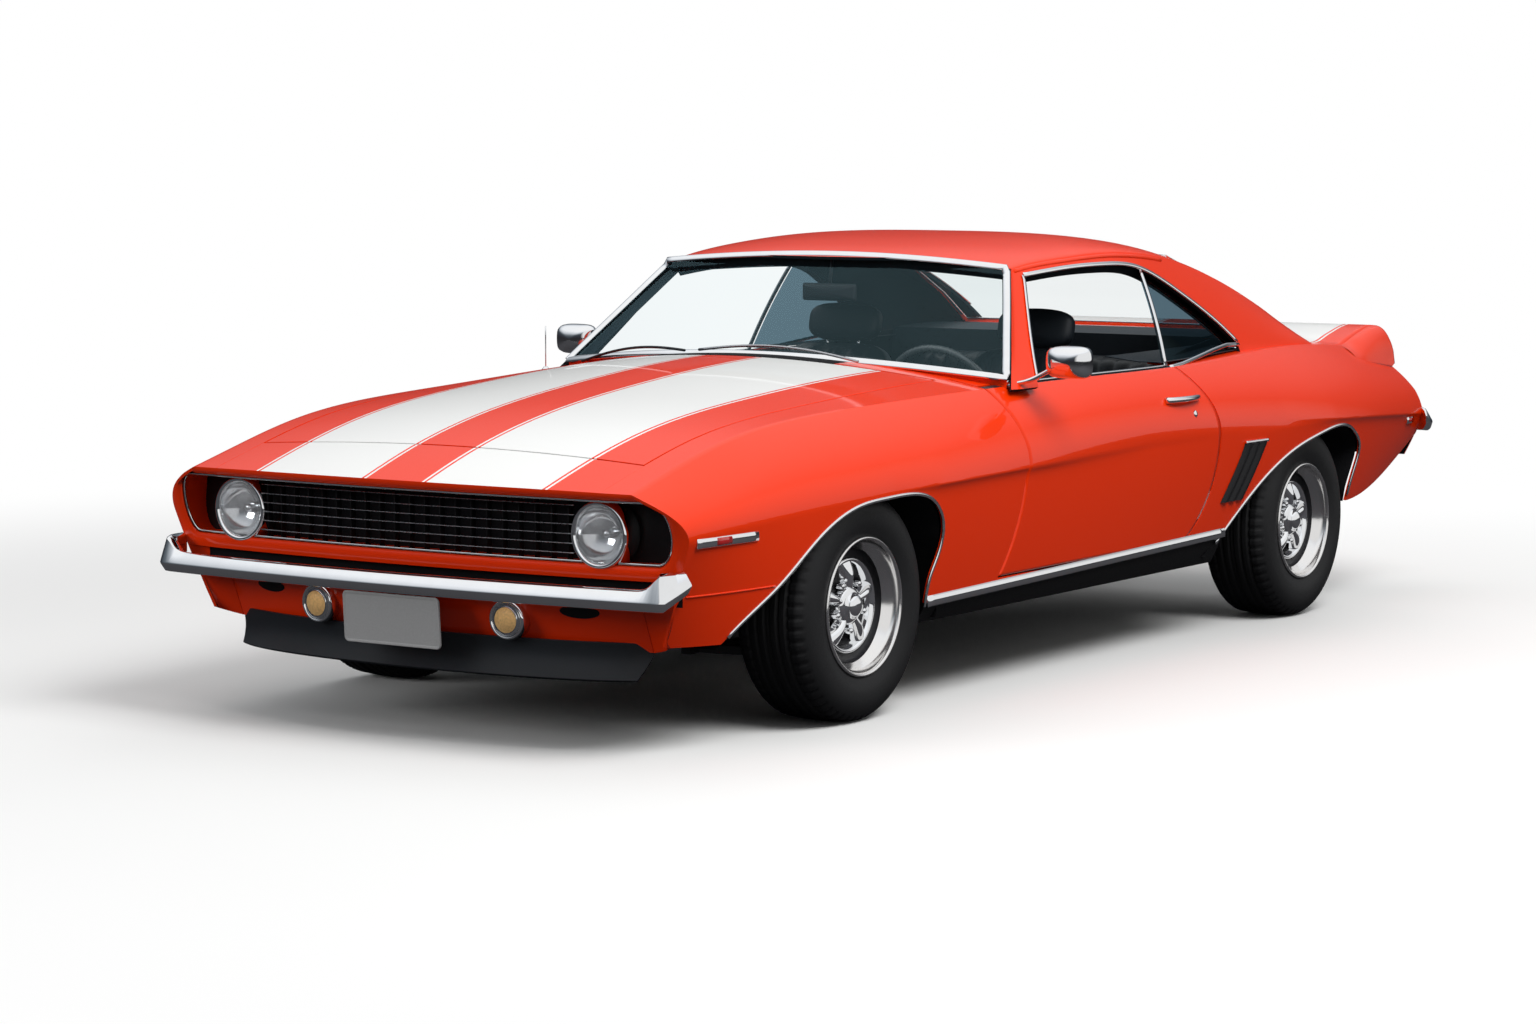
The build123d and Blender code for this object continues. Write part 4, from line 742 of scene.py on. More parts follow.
LAMP_X, LAMP_Y, LAMP_Z, LAMP_R = 0.609, -2.272, 0.579, 0.0895
FORWARD = (0, -1, 0)
for hand, sign in HANDS:
    centre = (sign * LAMP_X, LAMP_Y, LAMP_Z)
    bezel = turned([(0.076, -0.07), (LAMP_R - 0.006, -0.07), (LAMP_R, -0.06), (LAMP_R, -0.010),
                    (LAMP_R - 0.002, 0.000), (LAMP_R - 0.007, 0.004), (LAMP_R - 0.013, 0.000),
                    (0.073, -0.006), (0.073, -0.02), (0.076, -0.07)], centre, FORWARD)
    piece(f"headlamp_ring_{hand}", [bezel], [chrome],
          stands_for=["headlamps"] if sign > 0 else ())
    r = np.linspace(0, 1, 22)
    dome = np.stack([0.0735 * r, 0.012 - 0.018 * r**2], 1)
    front = turned(dome, centre, FORWARD, 120)
    fluted = np.abs(front[..., 2] - LAMP_Z) < 0.055
    front[..., 1] -= 0.0007 * np.abs(np.sin((front[..., 0] - centre[0]) * 330)) * fluted
    rear = turned(dome - (0, 0.004), centre, FORWARD, 120)
    piece(f"headlamp_lens_{hand}", [front, rear, np.stack([front[-1], rear[-1]])], [lens])
    bowl = turned([(0.075, -0.012), (0.068, -0.03), (0.050, -0.048), (0.022, -0.060), (0, -0.062)],
                  centre, FORWARD)
    bulb = turned([(0, -0.030), (0.012, -0.032), (0.012, -0.055)], centre, FORWARD, 24)
    piece(f"headlamp_bowl_{hand}", [bowl, bulb], [bowl_coat],
          outward=(centre[0], -6.0, centre[2]))

# Parking lamps. Round amber lenses in silvered bowls, set in the valance and held by chromed rings that
# turn a little outward.
# The lens is amber made paler. The paleness stands in for the silvered bowl shining through it in the shade
# under the bumper: painted highlight.
amber = finish("amber_lens", (0.98, 0.60, 0.24), 0.18, coat=0.8, scale=160.0, waver=0.3, tone=0.15)
PARK_X, PARK_Z, PARK_R = 0.322, 0.341, 0.054
for hand, sign in HANDS:
    centre = (sign * PARK_X, float(valance_y(PARK_X, PARK_Z)) - 0.028, PARK_Z)
    aim = (0.06 * sign, -1, -0.06)
    r = np.linspace(0, 1, 16)
    rib = turned(np.stack([0.034 * r, 0.013 - 0.009 * r**2], 1), centre, aim, 96)
    bowl = turned([(0.0340, 0.004), (0.0355, -0.003), (0.0400, 0.001), (0.0430, -0.004)], centre, aim, 96)
    bezel = turned([(0.042, -0.05), (PARK_R, -0.05), (PARK_R, -0.004), (PARK_R - 0.004, 0.004),
                    (0.046, 0.003), (0.043, -0.004), (0.042, -0.05)], centre, aim)
    piece(f"parking_ring_{hand}", [bezel], [chrome],
          stands_for=["parking_lamps"] if sign > 0 else ())
    piece(f"parking_lens_{hand}", [rib], [amber], outward=(centre[0], -1.5, centre[2]))
    piece(f"parking_bowl_{hand}", [bowl], [bowl_coat], outward=(centre[0], -6.0, centre[2]))

# Number plate. A blank grey sheet pressed with a raised rim and round corners, bolted on below the bumper,
# with its foot set back a little.
plate_grey = finish("plate_grey", (0.42, 0.42, 0.42), 0.5, spec=0.3, scale=260.0, waver=0.2, tone=0.05)
PLATE_HALF, PLATE_LOW, PLATE_TOP, PLATE_Y = 0.163, 0.258, 0.396, -2.366


def rounded(half_x, half_z, radius, n=8):
    """Closed rectangle with round corners, about the origin."""
    a = np.linspace(0, np.pi / 2, n)
    turn = np.concatenate([a, a + np.pi / 2, a + np.pi, a + 3 * np.pi / 2])
    cx = np.repeat([1, -1, -1, 1], n) * (half_x - radius)
    cz = np.repeat([1, 1, -1, -1], n) * (half_z - radius)
    loop = np.stack([cx + radius * np.cos(turn), cz + radius * np.sin(turn)], 1)
    return np.concatenate([loop, loop[:1]])


mid_z, half_z = (PLATE_LOW + PLATE_TOP) / 2, (PLATE_TOP - PLATE_LOW) / 2
rows = []
for inset, depth in ((1.0, 0.004), (0.0, 0.004), (0.0, 0.0005), (0.0015, -0.001), (0.006, -0.001),
                     (0.008, 0.0005), (0.0095, 0.0005), (0.0110, 0.0005), (1.0, 0.0005)):
    if inset < 1:
        loop = rounded(PLATE_HALF - inset, half_z - inset, 0.014 - inset)
    else:
        loop = 0 * rounded(PLATE_HALF, half_z, 0.014)
    rows.append(np.stack([loop[:, 0], PLATE_Y + depth - 0.06 * loop[:, 1], mid_z + loop[:, 1]], 1))
piece("number_plate_sheet", [np.stack(rows)], [plate_grey], stands_for=["number_plate"],
      sharp=40)


# Cowl. The steel panel welded between hood and windshield; black at the vent in its middle, as painted shade
# of the cavity behind the hood's rear edge, and where it runs on under the glass; in body colour at its ends.
def glass_foot(x):
    """Line on the cowl just behind the windshield's lower edge."""
    return -0.624 + 0.13 * x**2 + 0.20 * x**4


def cowl_back(x):
    """Rear edge of the cowl, under the dashboard."""
    return -0.47 + 0 * x


def cowl_front(x):
    """Front edge of the cowl, a gap behind the hood."""
    return hood_rear(x) + 0.010


COWL_VENT_SHADE_X, COWL_X = 0.34, 0.752
vent_painted_shade = on_top(-COWL_VENT_SHADE_X, COWL_VENT_SHADE_X, cowl_front, cowl_back, 50, 30)
under = pair([on_top(COWL_VENT_SHADE_X, COWL_X, glass_foot, cowl_back, 30, 8)])
ends = pair([on_top(COWL_VENT_SHADE_X, FENDER_X, cowl_front, glass_foot, 24, 20),
             on_top(FENDER_X - 0.004, COWL_X, lambda x: -0.600 + 0 * x, glass_foot, 12, 8)])
piece("cowl_skin", [vent_painted_shade, *under, *ends], [shade, shade, shade, paint], stands_for=["cowl_panel"],
      thick=PANEL, outward=AXIS_LINE)


# Roof, pillars and sail panels. One welded steel shell; its shoulder line runs from the windshield corner
# over the side windows and down the sails to the deck.
# Columns: y, shoulder x and z, belt x and z, roof centre z, in millimetres
ROOF = np.array([
    (-560, 575, 1075, 822, 893, 1110), (-185, 622, 1196, 812, 886, 1238), (89, 640, 1222, 806, 882, 1280),
    (345, 642, 1231, 800, 874, 1293), (617, 632, 1221, 790, 870, 1283), (850, 614, 1197, 770, 878, 1250),
    (1068, 606, 1158, 750, 884, 1190), (1290, 610, 1098, 738, 890, 1120), (1466, 620, 1036, 730, 895, 1050),
    (1672, 634, 946, 722, 893, 952), (1786, 644, 879, 716, 873, 883)]) / 1000
shoulder_x, shoulder_z, belt_x, belt_z, ridge_z = [through(ROOF[:, 0], c) for c in ROOF.T[1:]]
SIDE_BOW = 0.012


def house_x(y, z):
    """Half width of the greenhouse side: a bowed line from belt to shoulder."""
    s = (z - belt_z(y)) / (shoulder_z(y) - belt_z(y))
    return belt_x(y) + s * (shoulder_x(y) - belt_x(y)) + 4 * SIDE_BOW * s * (1 - s)


def roof_z(u, y):
    """Roof height: a flat crown that rounds down to the shoulder; u runs from the centre to 1 at the
    shoulder."""
    return shoulder_z(y) + (ridge_z(y) - shoulder_z(y)) * np.maximum(1 - np.abs(u)**3.0, 0)**0.62


u = np.sin(np.linspace(-np.pi / 2, np.pi / 2, 72))[None, :]
roof_front, roof_back = -0.232 + 0.048 * u**2, 0.975 - 0.055 * u**2
y = roof_front + np.linspace(0, 1, 54)[:, None] * (roof_back - roof_front)
roof_top = sheet(u * shoulder_x(y), y, roof_z(u, y))
# Upper and rear edge of the side window, as y and z
WINDOW_LINE = smooth_line([(-0.150, 1.176), (0.089, 1.192), (0.345, 1.196), (0.560, 1.178), (0.667, 1.146),
                           (0.843, 1.072), (1.023, 0.980), (1.120, 0.915)])
y = np.linspace(-0.185, 1.120, 120)[None, :]
t = np.linspace(0, 1, 16)[:, None]
z = shoulder_z(y) + t * (np.interp(y, WINDOW_LINE[:, 0], WINDOW_LINE[:, 1]) - shoulder_z(y))
rail = sheet(house_x(y, z), y, z)
y = np.linspace(1.120, 1.786, 60)[None, :]
z = shoulder_z(y) + t * (belt_z(y) - 0.012 - shoulder_z(y))
sail = sheet(house_x(y, z), y, z)
y = np.linspace(0.920, 1.786, 60)[None, :]
t = np.linspace(0, 1, 10)[:, None]
u = 1 - 0.115 * t
sail_top = sheet(u * shoulder_x(y), y, roof_z(u, y))


def corner_x(z):
    """Half width of the windshield at a height."""
    return np.interp(z, [0.85, 0.95, 1.04, 1.125, 1.205, 1.25], [0.832, 0.775, 0.722, 0.672, 0.624, 0.600])


# Windshield seen from the side. Columns: z, y at the centre, y at the corner
SCREEN = np.array([(0.85, -0.815, -0.540), (0.90, -0.728, -0.490), (0.95, -0.648, -0.440),
                   (1.0, -0.568, -0.390), (1.05, -0.489, -0.339), (1.10, -0.409, -0.289),
                   (1.15, -0.327, -0.240), (1.205, -0.235, -0.185), (1.25, -0.158, -0.140)])


def screen_y(x, z):
    """Windshield face: raked, and bowed in plan."""
    mid = np.interp(z, SCREEN[:, 0], SCREEN[:, 1])
    edge = np.interp(z, SCREEN[:, 0], SCREEN[:, 2])
    return mid + (edge - mid) * (x / corner_x(z))**2


def post_y(z):
    """Front edge of the side window, along the windshield post."""
    return np.interp(z, [0.80, 1.172, 1.20], [-0.432, -0.150, -0.150])


z = np.linspace(0.862, 1.200, 40)[:, None]
t = np.linspace(0, 1, 8)[None, :]
start = screen_y(corner_x(z), z)
y = start + t * (post_y(z) - start)
pillar = sheet(corner_x(z) + (house_x(y, z) - corner_x(z)) * t**0.5, y, z)
liner = finish("headliner", (0.010, 0.016, 0.020), 0.9, spec=0.2, scale=500.0, waver=0.1, tone=0.3,
               relief=0.0003)
piece("roof_skin", [roof_top, *pair([rail, sail, sail_top, pillar])], [paint], stands_for=["roof_shell"],
      thick=0.010, outward=(0.0, 0.4, 0.6), lining=liner)


# Glass. Laminated windshield and toughened rear and quarter panes, set in rubber with bright mouldings round
# them and dark liners inside the openings.
def tinted(name, tint):
    """Thin pane: clear by its tint when faced, mirror-like when grazed, the same from both sides. The mirror
    layer's teal tint is painted sky colour in the reflection.
    """
    made = bpy.data.materials.new(name)
    made.use_nodes = True
    tree = made.node_tree
    clear = tree.nodes.new("ShaderNodeBsdfTransparent")
    clear.inputs["Color"].default_value = (*tint, 1)
    sheen_painted_sky_tint = tree.nodes.new("ShaderNodeBsdfGlossy")
    sheen_painted_sky_tint.inputs["Color"].default_value = (0.50, 0.84, 0.95, 1)
    sheen_painted_sky_tint.inputs["Roughness"].default_value = 0.02
    weight = tree.nodes.new("ShaderNodeLayerWeight")
    graze = ramp_node(tree, [(0.0, 0.03), (0.5, 0.04), (0.75, 0.09), (0.9, 0.25), (1.0, 0.8)],
                      weight.outputs["Facing"])
    pane = tree.nodes.new("ShaderNodeMixShader")
    tree.links.new(graze, pane.inputs[0])
    tree.links.new(clear.outputs[0], pane.inputs[1])
    tree.links.new(sheen_painted_sky_tint.outputs[0], pane.inputs[2])
    tree.links.new(pane.outputs[0], tree.nodes["Material Output"].inputs["Surface"])
    return made


glass = tinted("window_glass", (0.92, 0.95, 0.95))
# The quarter panes get a dark blue-grey tint, where the windshield stays clear, standing in for the sky
# reflection that greys them: painted reflection.
quarter_glass_painted_reflection = tinted("quarter_glass_painted_reflection", (0.10, 0.16, 0.20))
u = np.linspace(-1, 1, 60)[None, :]
low, high = 0.945 - 0.052 * u**2, 1.226 - 0.030 * u**2
z = low + np.linspace(0, 1, 30)[:, None] * (high - low)
x = u * (corner_x(z) - 0.012)
windshield = np.stack([x, screen_y(x, z) + 0.006, z], -1)
piece("windshield_pane", [windshield], [glass], stands_for=["windshield"],
      outward=(0.0, 1.0, 0.0))


def border(grid):
    """Closed line round a grid, along its first row and back by its first column."""
    return np.concatenate([grid[0], grid[1:, -1], grid[-1, ::-1][1:], grid[::-1, 0][1:]])


TRIM = 0.013
edge = border(windshield)
raised = edge[:, 2] > 1.19
proud = sheet(0.0, -0.010 - 0.012 * raised, 0.002 + 0.006 * raised)
trim = rod(edge + proud, TRIM, up=(0, -1, 1), n=8, flat=0.35)[1:-1]
piece("windshield_moulding", [trim], [chrome])
row = windshield[0][windshield[0][:, 0] > COWL_VENT_SHADE_X] + (0, -0.004, 0.004)
sunk = sheet(row[:, 0], row[:, 1], np.minimum(top_z(row[:, 0], row[:, 1]) - 0.006, row[:, 2]))
piece("windshield_foot", pair([np.stack([row, sunk])]), [paint], thick=0.003, outward=(0.0, 0.4, 0.6))

t = np.linspace(0, 1, 6)[:, None, None]
top_band = windshield[-1] + t * (0, 0.012, -0.034) + (0, 0.010, 0)
post_band = windshield[:, -1] + t * (-0.040, 0.030, 0) + (0, 0.010, 0)
y, z = WINDOW_LINE[::5].T
rail_band = sheet(house_x(y, z) - 0.012, y, z + 0.004) + t * (-0.020, 0, -0.030)
piece("opening_liners", [top_band, *pair([post_band, rail_band])], [liner], thick=0.003,
      outward=(0.0, 0.4, 1.0), lining=liner)


def back_y(x, z):
    """Rear window face: raked, and bowed in plan."""
    mid = np.interp(z, [0.850, 0.947, 1.040, 1.125, 1.205], [1.760, 1.601, 1.420, 1.215, 0.975])
    return mid - 0.035 * (x / 0.6)**2


low, high = 0.935, 1.196
z = low + np.linspace(0, 1, 30)[:, None] * (high - low)
x = u * (0.585 - 0.05 * (z - 0.93) / 0.27)
backlight = sheet(x, back_y(x, z), z)
piece("rear_window_pane", [backlight], [glass], stands_for=["rear_window"],
      outward=(0.0, -1.0, 0.0))
trim = rod(border(backlight) + (0, 0.008, 0.006), TRIM, up=(0, 1, 1), n=8, flat=0.35)[1:-1]
piece("rear_window_moulding", [trim], [chrome])
piece("backlight_sides", pair([rod(sail_top[-1, 2:46] + (0, 0, 0.003), 0.006, up=(0, 0, 1), n=8, flat=0.5)]),
      [chrome])


def divider_y(z):
    """Place of the upright between the door glass and the quarter glass."""
    return np.interp(z, [0.872, 1.172], [0.505, 0.575])


z = np.linspace(0.885, 1.172, 24)[:, None]
lead = divider_y(z)
falling = WINDOW_LINE[WINDOW_LINE[:, 0].searchsorted(0.50):]
trail = np.interp(-z, -falling[:, 1], falling[:, 0])
y = lead + np.linspace(0, 1, 20)[None, :] * (np.maximum(trail, lead + 0.002) - lead)
quarter_pane = sheet(house_x(y, z) - 0.016, y, z)
piece("quarter_panes", pair([quarter_pane]), [quarter_glass_painted_reflection], stands_for=["quarter_windows"],
      outward=(0.0, None, None))

# Side trim. Rolled bright mouldings clipped on round the window, along the belt, over the arches and along
# the sill; drip rails and fender seams in body colour; a black strip that closes the sill from below.
y = WINDOW_LINE[:, 0]
upper = np.stack([house_x(y, WINDOW_LINE[:, 1]) + 0.004, y, WINDOW_LINE[:, 1] + 0.004], 1)[::6]
z = np.linspace(0.884, 1.178, 24)
y = post_y(z)
post = np.stack([house_x(y, z) + 0.004, y, z], 1)
y = np.linspace(0.520, 1.120, 24)
foot_z = np.interp(y, [0.52, 0.62, 0.90, 1.02, 1.12], [0.872, 0.878, 0.908, 0.918, 0.915])
foot = np.stack([house_x(y, foot_z) + 0.004, y, foot_z], 1)
z = np.linspace(0.874, 1.176, 12)
y = divider_y(z)
divider = np.stack([house_x(y, z) - 0.004, y, z], 1)
y = np.linspace(-0.175, 0.78, 60)
drip = np.stack([shoulder_x(y) + 0.005, y, shoulder_z(y) - 0.008], 1)
SIDEWAYS = (1, 0, 0.4)
piece("window_mouldings", pair([rod(upper, 0.008, SIDEWAYS, 8, 0.4), rod(post, 0.007, SIDEWAYS, 8, 0.4),
                                rod(foot, 0.007, SIDEWAYS, 8, 0.4), rod(divider, 0.009, SIDEWAYS, 8, 0.6)]),
      [chrome])
piece("drip_rails", pair([rod(drip, 0.007, SIDEWAYS, 8, 0.7)]), [paint])
for hand, sign in HANDS:
    y = np.linspace(-0.470, 0.500, 40)
    belt = np.stack([crest_x(y) - 0.012, y, top_z(crest_x(y) - 0.012, y) + 0.004], 1) * (sign, 1, 1)
    piece(f"belt_moulding_{hand}", [rod(belt, 0.007, (0, 0, 1), 8, 0.5)], [chrome], f"door_{hand}")
lips = []
for arch, cut in ((front_arch, 12), (rear_arch, 20)):
    line = arch[cut:-6:4]
    lip_x = side_x(line[:, 0], np.maximum(line[:, 1], 0.262)) + 0.001
    lips.append(rod(sheet(lip_x, line[:, 0], line[:, 1]), 0.006, (1, 0, 0), 8, 0.6))
piece("arch_mouldings", pair(lips), [chrome])
y = np.linspace(-1.080, 0.740, 60)
strip_z = sill_line(y) + 0.004
strip = rod(sheet(side_x(y, strip_z) + 0.002, y, strip_z), 0.017, (1, 0, 0.1), 10, 0.28)
piece("sill_strips", pair([strip]), [chrome])
SEAM_Z, SILL_LOW = 0.425, 0.236
seam_y = np.linspace(-2.195, -1.862, 20)
seam = sheet(side_x(seam_y, SEAM_Z) - 0.0006, seam_y, SEAM_Z)
piece("fender_seams", pair([rod(seam, 0.0032, (1, 0, 0), 8)]), [paint])
z = np.linspace(0, 1, 5)[:, None]
black_z = SILL_LOW + z * (strip_z - SILL_LOW)
under = sheet(side_x(y, np.maximum(black_z, 0.27)) - 0.004 - 0.03 * (1 - z)**2, y, black_z)
piece("sill_blacks", pair([under]), [shade], thick=0.004, outward=AXIS_LINE)

# Deck and trunk lid. A welded filler below the rear window and a pressed lid hinged to it; the lid carries a
# moulded spoiler blade along its rear edge, with stripes over both, and fixed tips finish it on the quarters.
LID_FRONT, LID_BACK = 1.800, 2.188
filler = on_top(-DECK_X, DECK_X, lambda x: 1.48 + 0 * x, lambda x: LID_FRONT - GAP + 0 * x, along=20)
piece("deck_filler_skin", [filler], [paint], stands_for=["deck_filler"], thick=PANEL, outward=AXIS_LINE)
LID_X, SPOILER_Z, SPOILER_FOOT = DECK_X - GAP, 0.929, 0.84
# Spoiler seen from the side: y and share of the way up from the skin to its top, then its lip and underside
# as y and z
RISE = np.array([(1.960, 0.0), (2.000, 0.10), (2.060, 0.42), (2.130, 0.72), (2.200, 0.93), (2.250, 1.0)])
LIP = np.array([(2.262, 0.928), (2.268, 0.922), (2.267, 0.915), (2.258, 0.911), (2.200, 0.899)])


def spoiler(x, end):
    """Blade over a strip of the deck: rows run up the swept top, round the lip and under to the lid's rear
    edge; end shrinks its height towards the tips."""
    y = np.linspace(RISE[0, 0], RISE[-1, 0], 40)[:, None]
    skin = top_z(np.clip(x, -DECK_X, DECK_X), y)
    share = through(RISE[:, 0], RISE[:, 1])(y)
    top = sheet(x, y, skin + share * (SPOILER_Z - skin) * end)
    foot = top_z(np.clip(x, -DECK_X, DECK_X), 0 * x + LID_BACK)
    lip = sheet(x, LIP[:, :1], foot + (LIP[:, 1:] - foot) * end)
    return np.concatenate([top, lip])


x = np.linspace(-LID_X, LID_X, 90)[None, :]
y = LID_FRONT + np.linspace(0, 1, 24)[:, None] * (LID_BACK - LID_FRONT)
lid_top = sheet(x, y, top_z(x, y))
drop = np.linspace(0, 1, 6)[:, None]
lid_back = sheet(x, LID_BACK + 0.002 * np.sin(np.pi * drop), lid_top[-1:, :, 2] - 0.035 * drop)
deck_striped = striped_enamel("striped_deck", 0.108, 0.590)
piece("trunk_lid_skin", [lid_top, lid_back], [deck_striped], "trunk_lid", ["trunk_lid"], 0.006,
      (0.0, 1.7, 0.6))
blade = spoiler(x, 1 + 0 * x)
sides = [np.stack([blade[:, k], blade[:, k] * (1, 1, 0) + (0, 0, SPOILER_FOOT)], 1) for k in (0, -1)]
foot = np.stack([blade[-1], sheet(x[0], LID_BACK - 0.006, blade[-1, :, 2] - 0.012)])
piece("spoiler_blade", [blade, foot, *sides], [deck_striped], "trunk_lid",
      outward=(0.0, 2.1, 0.80))
tip = np.linspace(0, 1, 14)[None, :]
tip_x = DECK_X + 0.082 * tip
tips = spoiler(tip_x, np.sqrt(np.maximum(1 - tip**3.4, 0)))
tips[..., 2] -= 0.050 * tip**2
tip_side = np.stack([tips[:, 0], tips[:, 0] * (1, 1, 0) + (0, 0, SPOILER_FOOT)], 1)
piece("spoiler_tips", pair([tips, tip_side]), [paint], outward=(0.0, 2.1, 0.80))

# Tail. A steel panel welded between the quarters, with three red lamp blocks in bright rims on each side and
# the chromed rear bumper bolted across it on hidden brackets.
z = np.linspace(0.470, 0.832, 30)[:, None]
u = np.linspace(-1, 1, 80)[None, :]
x = u * (side_x(tail_y(z), z) - 0.001)
tail_face = sheet(x, tail_y(z) - 0.0005, z)
x = np.linspace(-DECK_X, DECK_X, 80)[None, :]
t = np.linspace(0, 1, 5)[:, None]
y = LID_BACK + GAP + t * (tail_y(SPOILER_FOOT) - LID_BACK - GAP)
rail_top = sheet(x, y, top_z(x, y))
piece("tail_skin", [tail_face, rail_top], [paint], stands_for=["tail_panel"], thick=0.006,
      outward=(0.0, 1.0, 0.5))
red_lens = finish("red_lens", (0.45, 0.01, 0.01), 0.15, coat=1.0, scale=200.0, waver=0.3, tone=0.12)


def block(centre, half, radius, n=6):
    """Rounded box about a centre: a rounded outline in x and z lofted along y with bevelled ends."""
    rows = []
    for depth, inset in ((-1.0, 1.0), (-1.0, radius), (radius / half[1] - 1, 0.0),
                         (1 - radius / half[1], 0.0), (1.0, radius), (1.0, 1.0)):
        keep = np.array([1 - inset / half[0], 1 - inset / half[2]]) if inset < 1 else np.zeros(2)
        loop = rounded(half[0], half[2], radius * 1.01, n) * keep
        rows.append(sheet(centre[0] + loop[:, 0], centre[1] + half[1] * depth, centre[2] + loop[:, 1]))
    return np.stack(rows)


TAIL_LAMP_Z = 0.685
TAIL_LAMP_Y = float(tail_y(TAIL_LAMP_Z))
lamps, rims = [], []
for sign in (1, -1):
    for place in (0.340, 0.430, 0.520):
        lamps.append(block((sign * place, TAIL_LAMP_Y - 0.002, TAIL_LAMP_Z), (0.040, 0.012, 0.050), 0.006))
        rims.append(block((sign * place, TAIL_LAMP_Y - 0.008, TAIL_LAMP_Z), (0.0445, 0.012, 0.055), 0.006))
piece("tail_lamp_lenses", lamps, [red_lens], stands_for=["tail_lamps"])
piece("tail_lamp_rims", rims, [chrome])
s = np.linspace(-1, 1, 121)
u = np.abs(s)
path = sheet(s * 0.925, 2.370 - 0.026 * u**2 - 0.052 * np.clip((u - 0.93) / 0.07, 0, 1)**1.5, 0.556)
along = np.gradient(path, axis=0)
out = sheet(-along[:, 1], along[:, 0], 0.0)
REAR_BAR = [(-0.030, 0.004), (-0.006, 0.0), (0.002, 0.006), (0.010, 0.030), (0.009, 0.038), (-0.016, 0.080),
            (-0.022, 0.084), (-0.030, 0.082)]
rows = np.stack([np.stack([0 * s + a, 0 * s + b], 1) for a, b in REAR_BAR], 1)
taper = np.sqrt(1 - 0.88 * np.clip((u - 0.950) / 0.050, 0, 1)**2)[:, None]
rows = np.stack([(rows[..., 0] + 0.030) * taper - 0.030, 0.042 + (rows[..., 1] - 0.042) * taper], -1)
piece("rear_bumper_bar", [bar(path, out, rows)], [chrome], stands_for=["rear_bumper"],
      sharp=28)

# Cabin trim. A shelf under the rear window, cards inside the quarters and ledges along their belt, all of
# board covered with black vinyl and clipped to the steel.
x, t = np.linspace(-0.60, 0.60, 30)[None, :], np.linspace(0, 1, 16)[:, None]
y = 1.150 + 0.440 * t - 0.020 * (x / 0.6)**2
shelf = sheet(x, y, 0.934 + 0.006 * np.sin(np.pi * t))
lip = np.stack([shelf[0], shelf[0] - (0, 0.012, 0.090)])
piece("rear_shelf", [shelf, lip], [vinyl], thick=0.006, outward=(None, 1.4, 0.5))
y, t = np.linspace(0.470, 1.160, 30)[None, :], np.linspace(0, 1, 14)[:, None]
z = 0.450 + t * (np.interp(y, [0.47, 0.62, 0.90, 1.16], [0.872, 0.880, 0.910, 0.925]) - 0.450)
inner_x = np.interp(y, [0.47, 1.16], [0.742, 0.615])
belt_y, t = np.linspace(0.480, 1.170, 30)[None, :], np.linspace(0, 1, 6)[:, None]
belt_in = belt_x(belt_y) - 0.012 + t * (0.600 - belt_x(belt_y))
ledge = sheet(belt_in, belt_y, top_z(np.minimum(belt_in, DECK_X), belt_y) + 0.004)
piece("quarter_ledges", pair([ledge]), [vinyl], thick=0.003, outward=(None, None, 0.5))
piece("quarter_cards", pair([sheet(inner_x, y, z)]), [vinyl], thick=0.006,
      outward=(0.0, None, None))


# Seats. Foam pads under black vinyl on pressed frames: two buckets with head cushions and a bench behind
# them. The pads are blown up from slightly small forms, then their pleats are drawn in.
def signed_power(w, power):
    """Power of the size of w, with the sign of w."""
    return np.sign(w) * np.abs(w)**power


def pad(half, square=0.42):
    """Closed pad about the origin: a superellipsoid of half sizes along x, y and z; a lower power squares it
    up."""
    u, v = np.linspace(-np.pi / 2, np.pi / 2, 49)[:, None], np.linspace(-np.pi, np.pi, 97)[None, :]
    ring_u = signed_power(np.cos(u), square)
    ring_u[[0, -1]] = 0
    cos_v, sin_v = signed_power(np.cos(v), square), signed_power(np.sin(v), square)
    grid = sheet(half[0] * ring_u * cos_v, half[1] * ring_u * sin_v,
                 half[2] * signed_power(np.sin(u), square))
    grid[:, -1] = grid[:, 0]
    return grid


CLOTH_FRAMES = 20


